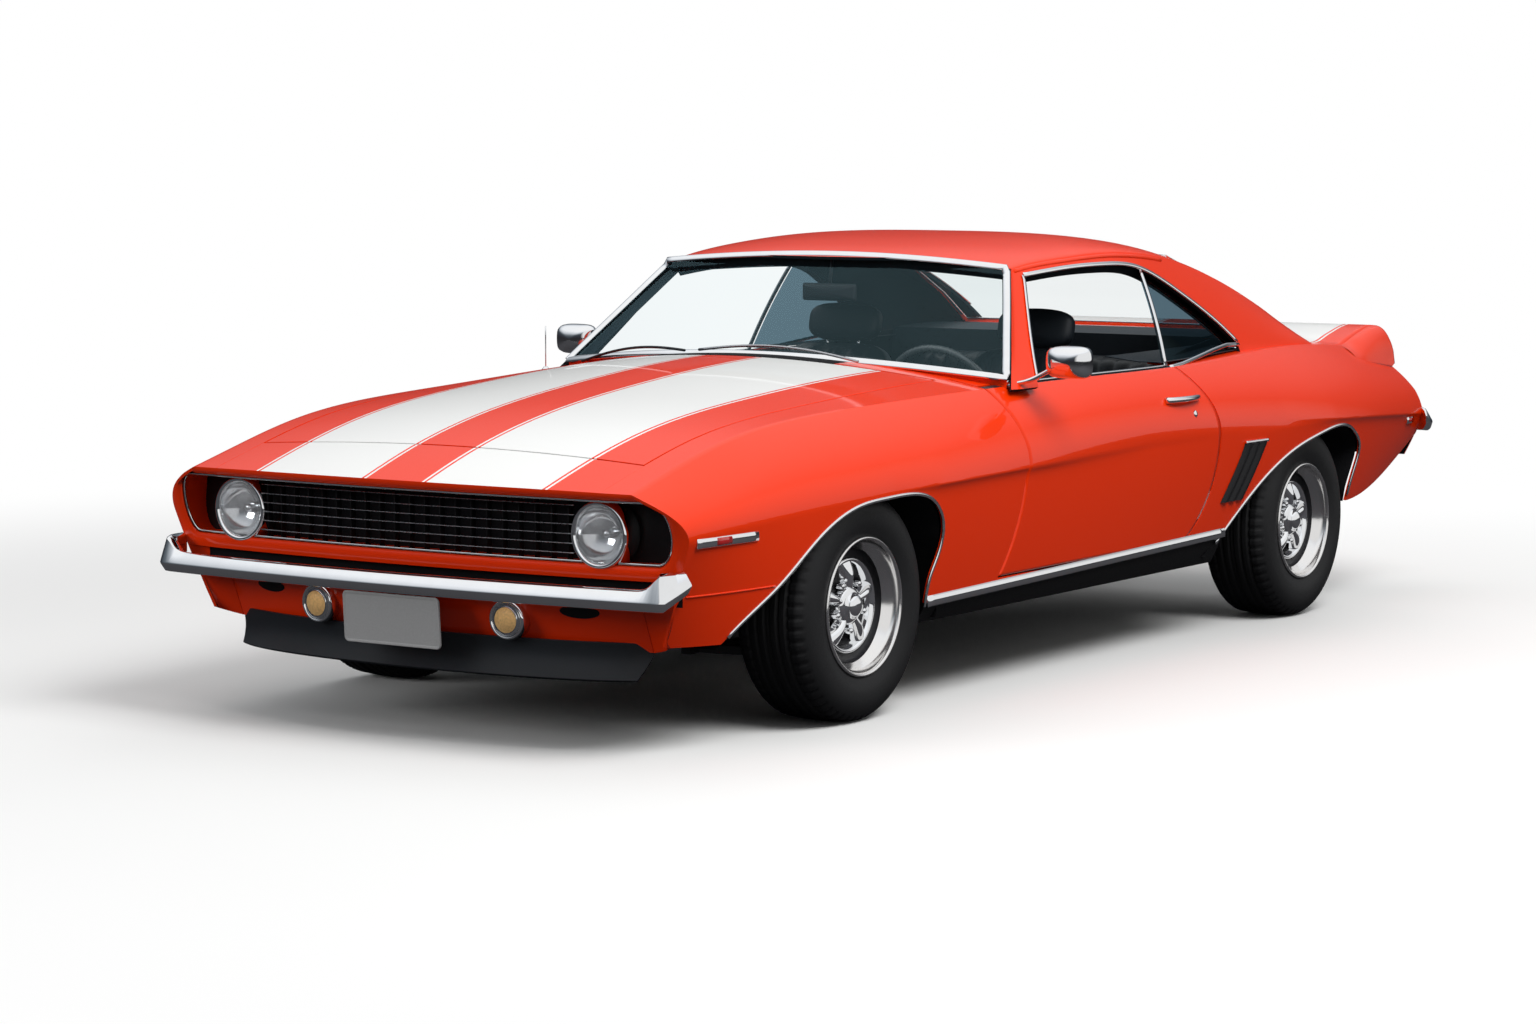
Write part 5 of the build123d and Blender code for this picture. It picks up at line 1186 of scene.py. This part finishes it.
def stuffed(made, pleats, face, depth, lean, centre, voxel=0.008, cap=0.016):
    """Pad as sewn: cut into even cells, blown up by inner pressure without gravity, each point kept within
    cap of where it began; grooves of a bell section at the pleats sink into the side that face names, as
    axis and sign; then the pad leans back about x and moves to its centre."""
    even = made.modifiers.new("even", "REMESH")
    even.mode, even.voxel_size, even.use_smooth_shade = "VOXEL", voxel, True
    shape = bpy.data.meshes.new_from_object(made.evaluated_get(bpy.context.evaluated_depsgraph_get()))
    made.modifiers.clear()
    coats = list(made.data.materials)
    made.data = shape
    shape.materials.clear()
    for coat in coats:
        shape.materials.append(coat)
    spot = np.empty(len(shape.vertices) * 3)
    shape.vertices.foreach_get("co", spot)
    spot = spot.reshape(-1, 3)
    cloth = made.modifiers.new("cloth", "CLOTH")
    cloth.settings.use_pressure = True
    cloth.settings.uniform_pressure_force = 4.0
    cloth.settings.effector_weights.gravity = 0.0
    cloth.point_cache.frame_end = CLOTH_FRAMES
    for step in range(1, CLOTH_FRAMES + 1):
        scene.frame_set(step)
    blown = made.evaluated_get(bpy.context.evaluated_depsgraph_get()).data
    after = np.empty(len(spot) * 3)
    blown.vertices.foreach_get("co", after)
    move = after.reshape(-1, 3) - spot
    reach = np.linalg.norm(move, axis=1, keepdims=True)
    spot = spot + move * np.minimum(1, cap / np.maximum(reach, 1e-9))
    made.modifiers.clear()
    scene.frame_set(1)
    axis, way = face
    across = np.minimum.reduce([np.abs(spot[:, 0] - at) for at in pleats])
    level = np.clip(way * spot[:, axis] / np.abs(spot[:, axis]).max(), 0, 1)
    spot[:, axis] -= way * depth * np.exp(-(across / 0.009)**2) * np.clip((level - 0.55) / 0.25, 0, 1)
    c, d = math.cos(lean), math.sin(lean)
    spot = spot @ np.array([(1, 0, 0), (0, c, -d), (0, d, c)]) + centre
    shape.vertices.foreach_set("co", spot.reshape(-1))
    shape.polygons.foreach_set("use_smooth", np.ones(len(shape.polygons), bool))
    shape.update()
    return made


def other_side(made, name):
    """The same pad on the car's right."""
    shape = made.data.copy()
    spot = np.empty(len(shape.vertices) * 3)
    shape.vertices.foreach_get("co", spot)
    shape.vertices.foreach_set("co", (spot.reshape(-1, 3) * (-1, 1, 1)).reshape(-1))
    shape.flip_normals()
    right = bpy.data.objects.new(name, shape)
    scene.collection.objects.link(right)
    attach(right, "body")


SEAT_X, PLEATS = 0.360, (-0.12, -0.06, 0.0, 0.06, 0.12)
cushion = piece("seat_cushion_left", [pad((0.222, 0.250, 0.070))], [vinyl],
                stands_for=["front_seats"])
stuffed(cushion, PLEATS, (2, 1), 0.007, math.radians(-4), (SEAT_X, 0.065, 0.425))
rest = piece("seat_back_left", [pad((0.222, 0.048, 0.250))], [vinyl])
stuffed(rest, PLEATS, (1, -1), 0.006, math.radians(16), (SEAT_X, 0.350, 0.690))
head = piece("head_cushion_left", [pad((0.135, 0.038, 0.062), 0.6)], [vinyl])
stuffed(head, (0.0,), (1, -1), 0.0, math.radians(12), (SEAT_X, 0.440, 0.985))
for left, name in ((cushion, "seat_cushion_right"), (rest, "seat_back_right"), (head, "head_cushion_right")):
    other_side(left, name)
BENCH_PLEATS = tuple(np.linspace(-0.48, 0.48, 17))
bench = piece("bench_cushion", [pad((0.565, 0.190, 0.048), 0.35)], [vinyl],
              stands_for=["rear_seat"])
stuffed(bench, BENCH_PLEATS, (2, 1), 0.006, math.radians(-3), (0.0, 0.790, 0.490))
bench_rest = piece("bench_back", [pad((0.565, 0.060, 0.185), 0.35)], [vinyl])
stuffed(bench_rest, BENCH_PLEATS, (1, -1), 0.006, math.radians(32), (0.0, 1.070, 0.700))
posts, bases = [], []
for sign in (1, -1):
    for off in (-0.06, 0.06):
        posts.append(rod([(sign * SEAT_X + off, 0.415, 0.88), (sign * SEAT_X + off, 0.425, 0.92),
                          (sign * SEAT_X + off, 0.436, 0.97)], 0.006, (0, 1, 0), 10))
    bases.append(block((sign * SEAT_X, 0.075, 0.322), (0.190, 0.210, 0.035), 0.012))
piece("head_cushion_posts", posts, [chrome])
piece("seat_bases", bases, [satin])

# Dashboard and column. A padded hood over a panel of grained vinyl with two round gauges; the column carries
# a three-spoke wheel with a moulded rim, and the cabin mirror hangs on a stem from the roof's header.
x = np.linspace(-0.640, 0.640, 50)
hood_line = np.array([(-0.590, 0.640), (-0.430, 0.625), (-0.405, 0.640), (-0.415, 0.700), (-0.425, 0.760),
                      (-0.395, 0.778), (-0.386, 0.792), (-0.395, 0.804), (-0.450, 0.812), (-0.590, 0.815)])
rows = np.repeat(hood_line[None], len(x), 0)
path = sheet(x, -0.025 * (x / 0.64)**2, 0.0)
piece("dash_pad", [bar(path, sheet(0.0, 0 * x + 1, 0.0), rows)], [vinyl],
      stands_for=["dashboard"], sharp=40)
TILT, WHEEL_R = math.radians(22), 0.192
toward = np.array((0, math.cos(TILT), math.sin(TILT)))
HUB = np.array((0.360, -0.215, 0.740)) + 0.090 * toward
column = rod(np.array([HUB - toward * d for d in (0.40, 0.26, 0.12, 0.04)]), 0.028, (1, 0, 0), 20)
dials = [turned([(0.052, -0.02), (0.056, 0.004), (0.050, 0.006), (0.047, 0.0), (0.0, 0.0)],
                (0.360 + off, -0.408, 0.712), (0, 1, 0.1), 40) for off in (-0.085, 0.085)]
piece("column_and_dials", [column, *dials], [satin])
# The rim's grey is its dark moulding raised in tone to stand in for the shine along it: partly its own
# colour, partly painted highlight.
moulded = finish("moulded_rim_with_painted_sheen", (0.075, 0.085, 0.090), 0.25, coat=0.6, scale=120.0, waver=0.25, tone=0.15)
a = np.linspace(0, 2 * np.pi, 97)
upward = np.cross((1, 0, 0), toward)
hoop = HUB + WHEEL_R * (np.cos(a)[:, None] * np.array((1, 0, 0)) + np.sin(a)[:, None] * upward)
rim_hoop = rod(hoop, 0.012, toward, 14)[1:-1]
rim_hoop[-1] = rim_hoop[0]
arms = []
for turn in (10, 170, 270):
    along = math.cos(math.radians(turn)) * np.array((1, 0, 0)) + math.sin(math.radians(turn)) * upward
    arm = np.array([HUB + along * r - toward * 0.006 for r in (0.02, 0.07, 0.13, 0.184)])
    arms.append(rod(arm, 0.014, toward, 10, 0.3))
boss = turned([(0.040, -0.030), (0.042, 0.004), (0.034, 0.014), (0.0, 0.018)], HUB, toward, 40)
piece("steering_wheel_rim", [rim_hoop], [moulded], "steering_wheel", ["steering_wheel"])
piece("steering_wheel_spokes", [*arms, boss], [silver], "steering_wheel")
stem = rod([(0, -0.218, 1.135), (0, -0.214, 1.175), (0, -0.205, 1.214)], 0.005, (0, 1, 0), 10)
piece("cabin_mirror_shell", [block((0, -0.221, 1.116), (0.098, 0.009, 0.027), 0.008), stem], [satin],
      stands_for=["cabin_mirror"])

# Wheels. Fat cross-ply style tyres with circumferential grooves and slit shoulders, on deep polished dishes
# whose chromed five-spoke centres carry a domed cap and lug nuts.
rubber = finish("tyre_rubber", (0.011, 0.0112, 0.012), 0.55, spec=0.35, scale=320.0, waver=0.2, tone=0.25,
                relief=0.0002)
polished = finish("polished_dish", (0.84, 0.83, 0.82), 0.16, 1.0, scale=12.0, waver=0.2, tone=0.03)
# Near-black for the gap between dish and centre and for the plate behind the spokes. The plate is partly the
# drum's own dark metal; the rest is painted shade in these recesses.
dark = finish("wheel_recess_painted_shade", (0.012, 0.012, 0.014), 0.4, scale=90.0, waver=0.3, tone=0.3)
# Each row: distance from the wheel's middle towards the outside, radius
TYRE = [(0.098, 0.187), (0.106, 0.192), (0.112, 0.205), (0.1185, 0.228), (0.120, 0.248), (0.1185, 0.268),
        (0.112, 0.288), (0.102, 0.303), (0.092, 0.3115), (0.086, 0.3150)]
SEGMENTS, SLITS, TREAD_HALF = 300, 60, 0.084
spin = np.linspace(0, 2 * np.pi, SEGMENTS + 1)
wall = smooth_line(TYRE, 18)
tread_at = np.linspace(TREAD_HALF, 0, 25)
groove = np.zeros_like(tread_at)
groove[[6, 7, 14, 15, 22, 23]] = 0.007
tread = np.stack([tread_at, 0.3155 + 0.0045 * (1 - (tread_at / TREAD_HALF)**2) - groove], 1)
half = np.concatenate([wall, tread])
profile = np.concatenate([half, (half * (-1, 1))[::-1][1:]])
slit = (np.arange(SEGMENTS + 1) % (SEGMENTS // SLITS) == 0)
shoulder = (np.abs(profile[:, 0]) > 0.060) & (np.abs(profile[:, 0]) < 0.103) & (profile[:, 1] > 0.298)
radius = profile[:, 1:] - 0.006 * shoulder[:, None] * slit[None, :]
tyre = sheet(profile[:, :1], radius * np.cos(spin), radius * np.sin(spin))
tyre[:, -1] = tyre[:, 0]
inside = tyre[[-1, 0]]

# Rows of radius and distance outward, from the tyre's seat over the lip into the dish, then the dark gap in
# painted shade, the ring and the hub of the centre
DISH = [(0.1925, 0.100), (0.1938, 0.108), (0.1925, 0.1135), (0.1890, 0.1155), (0.1852, 0.1145),
        (0.1826, 0.110), (0.1812, 0.104), (0.1775, 0.091), (0.1745, 0.0875), (0.1640, 0.073),
        (0.1590, 0.066)]
DARK_GAP = [(0.1590, 0.066), (0.1575, 0.052), (0.1500, 0.044), (0.1310, 0.044)]
CENTRE_RING = [(0.1330, 0.044), (0.1325, 0.060), (0.1280, 0.064), (0.1220, 0.062), (0.1170, 0.052),
               (0.1120, 0.040)]
BACK_PLATE = [(0.1130, 0.040), (0.1000, 0.020), (0.0500, 0.015), (0.0, 0.015)]
HUB_CAP = [(0.054, 0.020), (0.054, 0.060), (0.050, 0.068), (0.040, 0.071), (0.034, 0.071), (0.032, 0.082),
           (0.026, 0.090), (0.014, 0.094), (0.0, 0.095)]
OUTBOARD = (1, 0, 0)
dish, gap_ring, rim_ring, drum, hub = [turned(rows, (0, 0, 0), OUTBOARD, 96)
                                       for rows in (DISH, DARK_GAP, CENTRE_RING, BACK_PLATE, HUB_CAP)]
barrel = turned([(0.1925, 0.100), (0.172, 0.06), (0.165, -0.06), (0.190, -0.10), (0.186, -0.104),
                 (0.155, -0.06), (0.155, 0.0)], (0, 0, 0), OUTBOARD, 64)
t, w = np.linspace(0, 1, 14)[:, None], np.linspace(-1, 1, 13)[None, :]
reach = 0.044 + 0.078 * t
breadth = 0.016 + 0.015 * t**1.6
crown = 0.068 - 0.006 * t + 0.008 * np.sin(np.pi * t) - 0.030 * np.abs(w)**2.4
spoke = sheet(crown, reach, breadth * w)
spokes, nuts = [], []
for k in range(5):
    a = 2 * np.pi * k / 5 + np.pi / 2
    ca, sa = np.cos(a), np.sin(a)
    spokes.append(np.stack([spoke[..., 0], spoke[..., 1] * ca - spoke[..., 2] * sa,
                            spoke[..., 1] * sa + spoke[..., 2] * ca], -1))
    b = a + np.pi / 5
    nuts.append(turned([(0.0090, 0.030), (0.0090, 0.066), (0.0065, 0.072), (0.0, 0.073)],
                       (0, 0.070 * np.cos(b), 0.070 * np.sin(b)), OUTBOARD, 6))


def at_wheel(grids, sign, track, axle_y):
    """A wheel's grids carried from the origin to its axle, turned to face outward."""
    return [grid * (sign, 1, 1) + (sign * track, axle_y, AXLE_Z) for grid in grids]


for end, track, axle_y in (("front", 0.757, FRONT_AXLE_Y), ("rear", 0.762, REAR_AXLE_Y)):
    for hand, sign in HANDS:
        wheel, corner = f"wheel_{end}_{hand}", f"{end}_{hand}"
        spot, inboard = (sign, track, axle_y), (sign * -2.0, None, None)
        piece(f"tyre_{corner}_rubber", at_wheel([tyre, inside], *spot), [rubber], wheel,
              [f"tyre_{corner}"])
        piece(f"rim_{corner}_dish", at_wheel([dish, barrel, rim_ring], *spot), [polished, polished, chrome],
              wheel, [f"rim_{corner}"], outward=inboard)
        piece(f"rim_{corner}_drum", at_wheel([gap_ring, drum], *spot), [dark], wheel, outward=inboard)
        piece(f"rim_{corner}_centre", at_wheel([hub, *spokes, *nuts], *spot), [chrome], wheel,
              outward=inboard)

# Door fittings. A chromed mirror on a bent stalk, a bowed pull handle and a lock barrel, all screwed to the
# door's outer skin; the right mirror sits further back.
mirror_glass = finish("mirror_glass", (0.9, 0.9, 0.9), 0.02, 1.0, scale=30.0, waver=0.5)
MIRROR_WIDE, MIRROR_HIGH, MIRROR_AT = 1.25, 0.82, (0.968, -0.440, 0.942)
HANDLE_Z, LOCK_Y, LOCK_Z = 0.781, 0.493, 0.731


def mirror_form(rows, set_back):
    """Turned form of the mirror's head, stretched to an oval and carried to its place on the door."""
    return turned(rows, (0, 0, 0), FORWARD, 48) * (MIRROR_WIDE, 1, MIRROR_HIGH) + MIRROR_AT + set_back


for hand, sign in HANDS:
    flip = (sign, 1, 1)
    door = f"door_{hand}"
    set_back = np.array((0, 0.0 if sign > 0 else 0.215, 0))
    shell = mirror_form([(0.0, 0.046), (0.020, 0.044), (0.040, 0.036), (0.052, 0.022), (0.058, 0.004),
                         (0.059, -0.010), (0.0545, -0.012)], set_back)
    face = mirror_form([(0.0545, -0.012), (0.0, -0.012)], set_back)
    stalk = smooth_line([(0.806, -0.478, 0.876), (0.838, -0.474, 0.882), (0.880, -0.462, 0.900),
                         (0.925, -0.455, 0.925)], 24) + set_back
    foot = turned([(0.026, -0.004), (0.026, 0.004), (0.020, 0.009), (0.0, 0.010)], (0.806, -0.478, 0.872),
                  (0.5, 0, 1), 32) + set_back
    for form in (shell, face):
        off = form - form.mean((0, 1)) * (1, 0, 1)
        far = np.hypot(off[..., 0] / MIRROR_WIDE, off[..., 2] / MIRROR_HIGH)
        square = (np.abs(off[..., 0] / MIRROR_WIDE)**5 + np.abs(off[..., 2] / MIRROR_HIGH)**5)**0.2
        form[..., ::2] += (off * (far / np.maximum(square, 1e-6) - 1)[..., None])[..., ::2] * 0.85
    piece(f"mirror_{hand}", [shell * flip, rod(stalk * flip, 0.010, (0, 0, 1), 12, 0.7), foot * flip],
          [chrome], door, [f"door_fittings_{hand}"])
    piece(f"mirror_{hand}_glass", [face * flip], [mirror_glass], door, outward=(None, -5.0, None))
    y = np.linspace(0.330, 0.540, 20)
    bow = np.clip(np.sin(np.pi * (y - 0.33) / 0.21), 0, 1)**0.5
    grip = sheet(side_x(y, HANDLE_Z) + 0.020 * bow + 0.003, y, HANDLE_Z)
    lock = turned([(0.011, -0.006), (0.011, 0.002), (0.007, 0.004), (0.0, 0.004)],
                  (float(side_x(np.array(LOCK_Y), np.array(LOCK_Z))), LOCK_Y, LOCK_Z), (1, 0, 0.2), 24)
    piece(f"handle_{hand}", [rod(grip * flip, 0.011, (0, 0, 1), 12, 0.9), lock * flip], [chrome], door)

# Gills. A black moulded louvre with three ribs, clipped to the quarter ahead of the rear wheel, with a bright
# upper edge.
t, w = np.linspace(0, 1, 14)[:, None], np.linspace(0, 1, 31)[None, :]
z = 0.617 - 0.182 * t + 0 * w
y = 0.812 - 0.128 * t**1.15 + 0.150 * w
recess = sheet(side_x(y, z) + 0.002 + 0.010 * np.abs(np.sin(3 * np.pi * w)), y, z)
piece("gills", pair([recess]), [black], outward=AXIS_LINE)
cap = np.stack([side_x(y[0], z[0]) + 0.006, y[0], z[0] + 0.002], 1)
piece("gill_edges", pair([rod(cap, 0.006, (1, 0, 0), 8, 0.6)]), [chrome])

# Marker lamps, wipers and antenna. Small screwed-on trim: a red lens in a bright bezel ahead of each front
# arch and at each rear corner, two wiper arms at rest under the windshield, a short mast on the right fender.
MARKER_Z, REAR_MARKER_Z, MAST_X, MAST_Y = 0.567, 0.603, -0.745, -0.690
y = np.linspace(-2.215, -1.965, 14)
marker = sheet(side_x(y, MARKER_Z) + 0.001, y, MARKER_Z)
piece("marker_bezels", pair([rod(marker, 0.014, (1, 0, 0), 10, 0.30)]), [chrome])
piece("marker_lenses", pair([rod(marker[4:8] + (0.003, 0, 0), 0.010, (1, 0, 0), 10, 0.30)]), [red_lens])
y = np.linspace(2.160, 2.222, 6)
rear_marker = sheet(side_x(y, REAR_MARKER_Z) + 0.002, y, REAR_MARKER_Z)
piece("rear_marker_bezels", pair([rod(rear_marker, 0.013, (1, 0, 0), 10, 0.4)]), [chrome])
piece("rear_marker_lenses", pair([rod(rear_marker[1:-1] + (0.003, 0, 0), 0.008, (1, 0, 0), 10, 0.5)]),
      [red_lens])
arms = []
for pivot, tip in (((0.40, -0.690), (-0.16, -0.700)), ((-0.20, -0.720), (-0.70, -0.560))):
    s = np.linspace(0, 1, 20)[:, None]
    way = np.array(pivot) + s * (np.array(tip) - pivot)
    wz = top_z(way[:, 0], way[:, 1]) + 0.012 + 0.016 * np.sin(np.pi * s[:, 0])
    arms.append(rod(np.column_stack([way, wz]), 0.006, (0, 0, 1), 8, 0.7))
# The two arms are one part in two finishes, silver near the light and black away from it: lit and shaded
# copies, painted light.
piece("wiper_arm_driver_lit_copy", arms[:1], [silver])
piece("wiper_arm_passenger_shaded_copy", arms[1:], [satin])
mast_z = np.linspace(0.862, 1.010, 6)
mast = rod(sheet(MAST_X, MAST_Y, mast_z), 0.0018, (1, 0, 0), 8)
base = turned([(0.014, -0.004), (0.014, 0.006), (0.006, 0.016), (0.0, 0.017)], (MAST_X, MAST_Y, 0.868),
              (0, 0, 1), 24)
piece("antenna", [mast, base], [chrome])
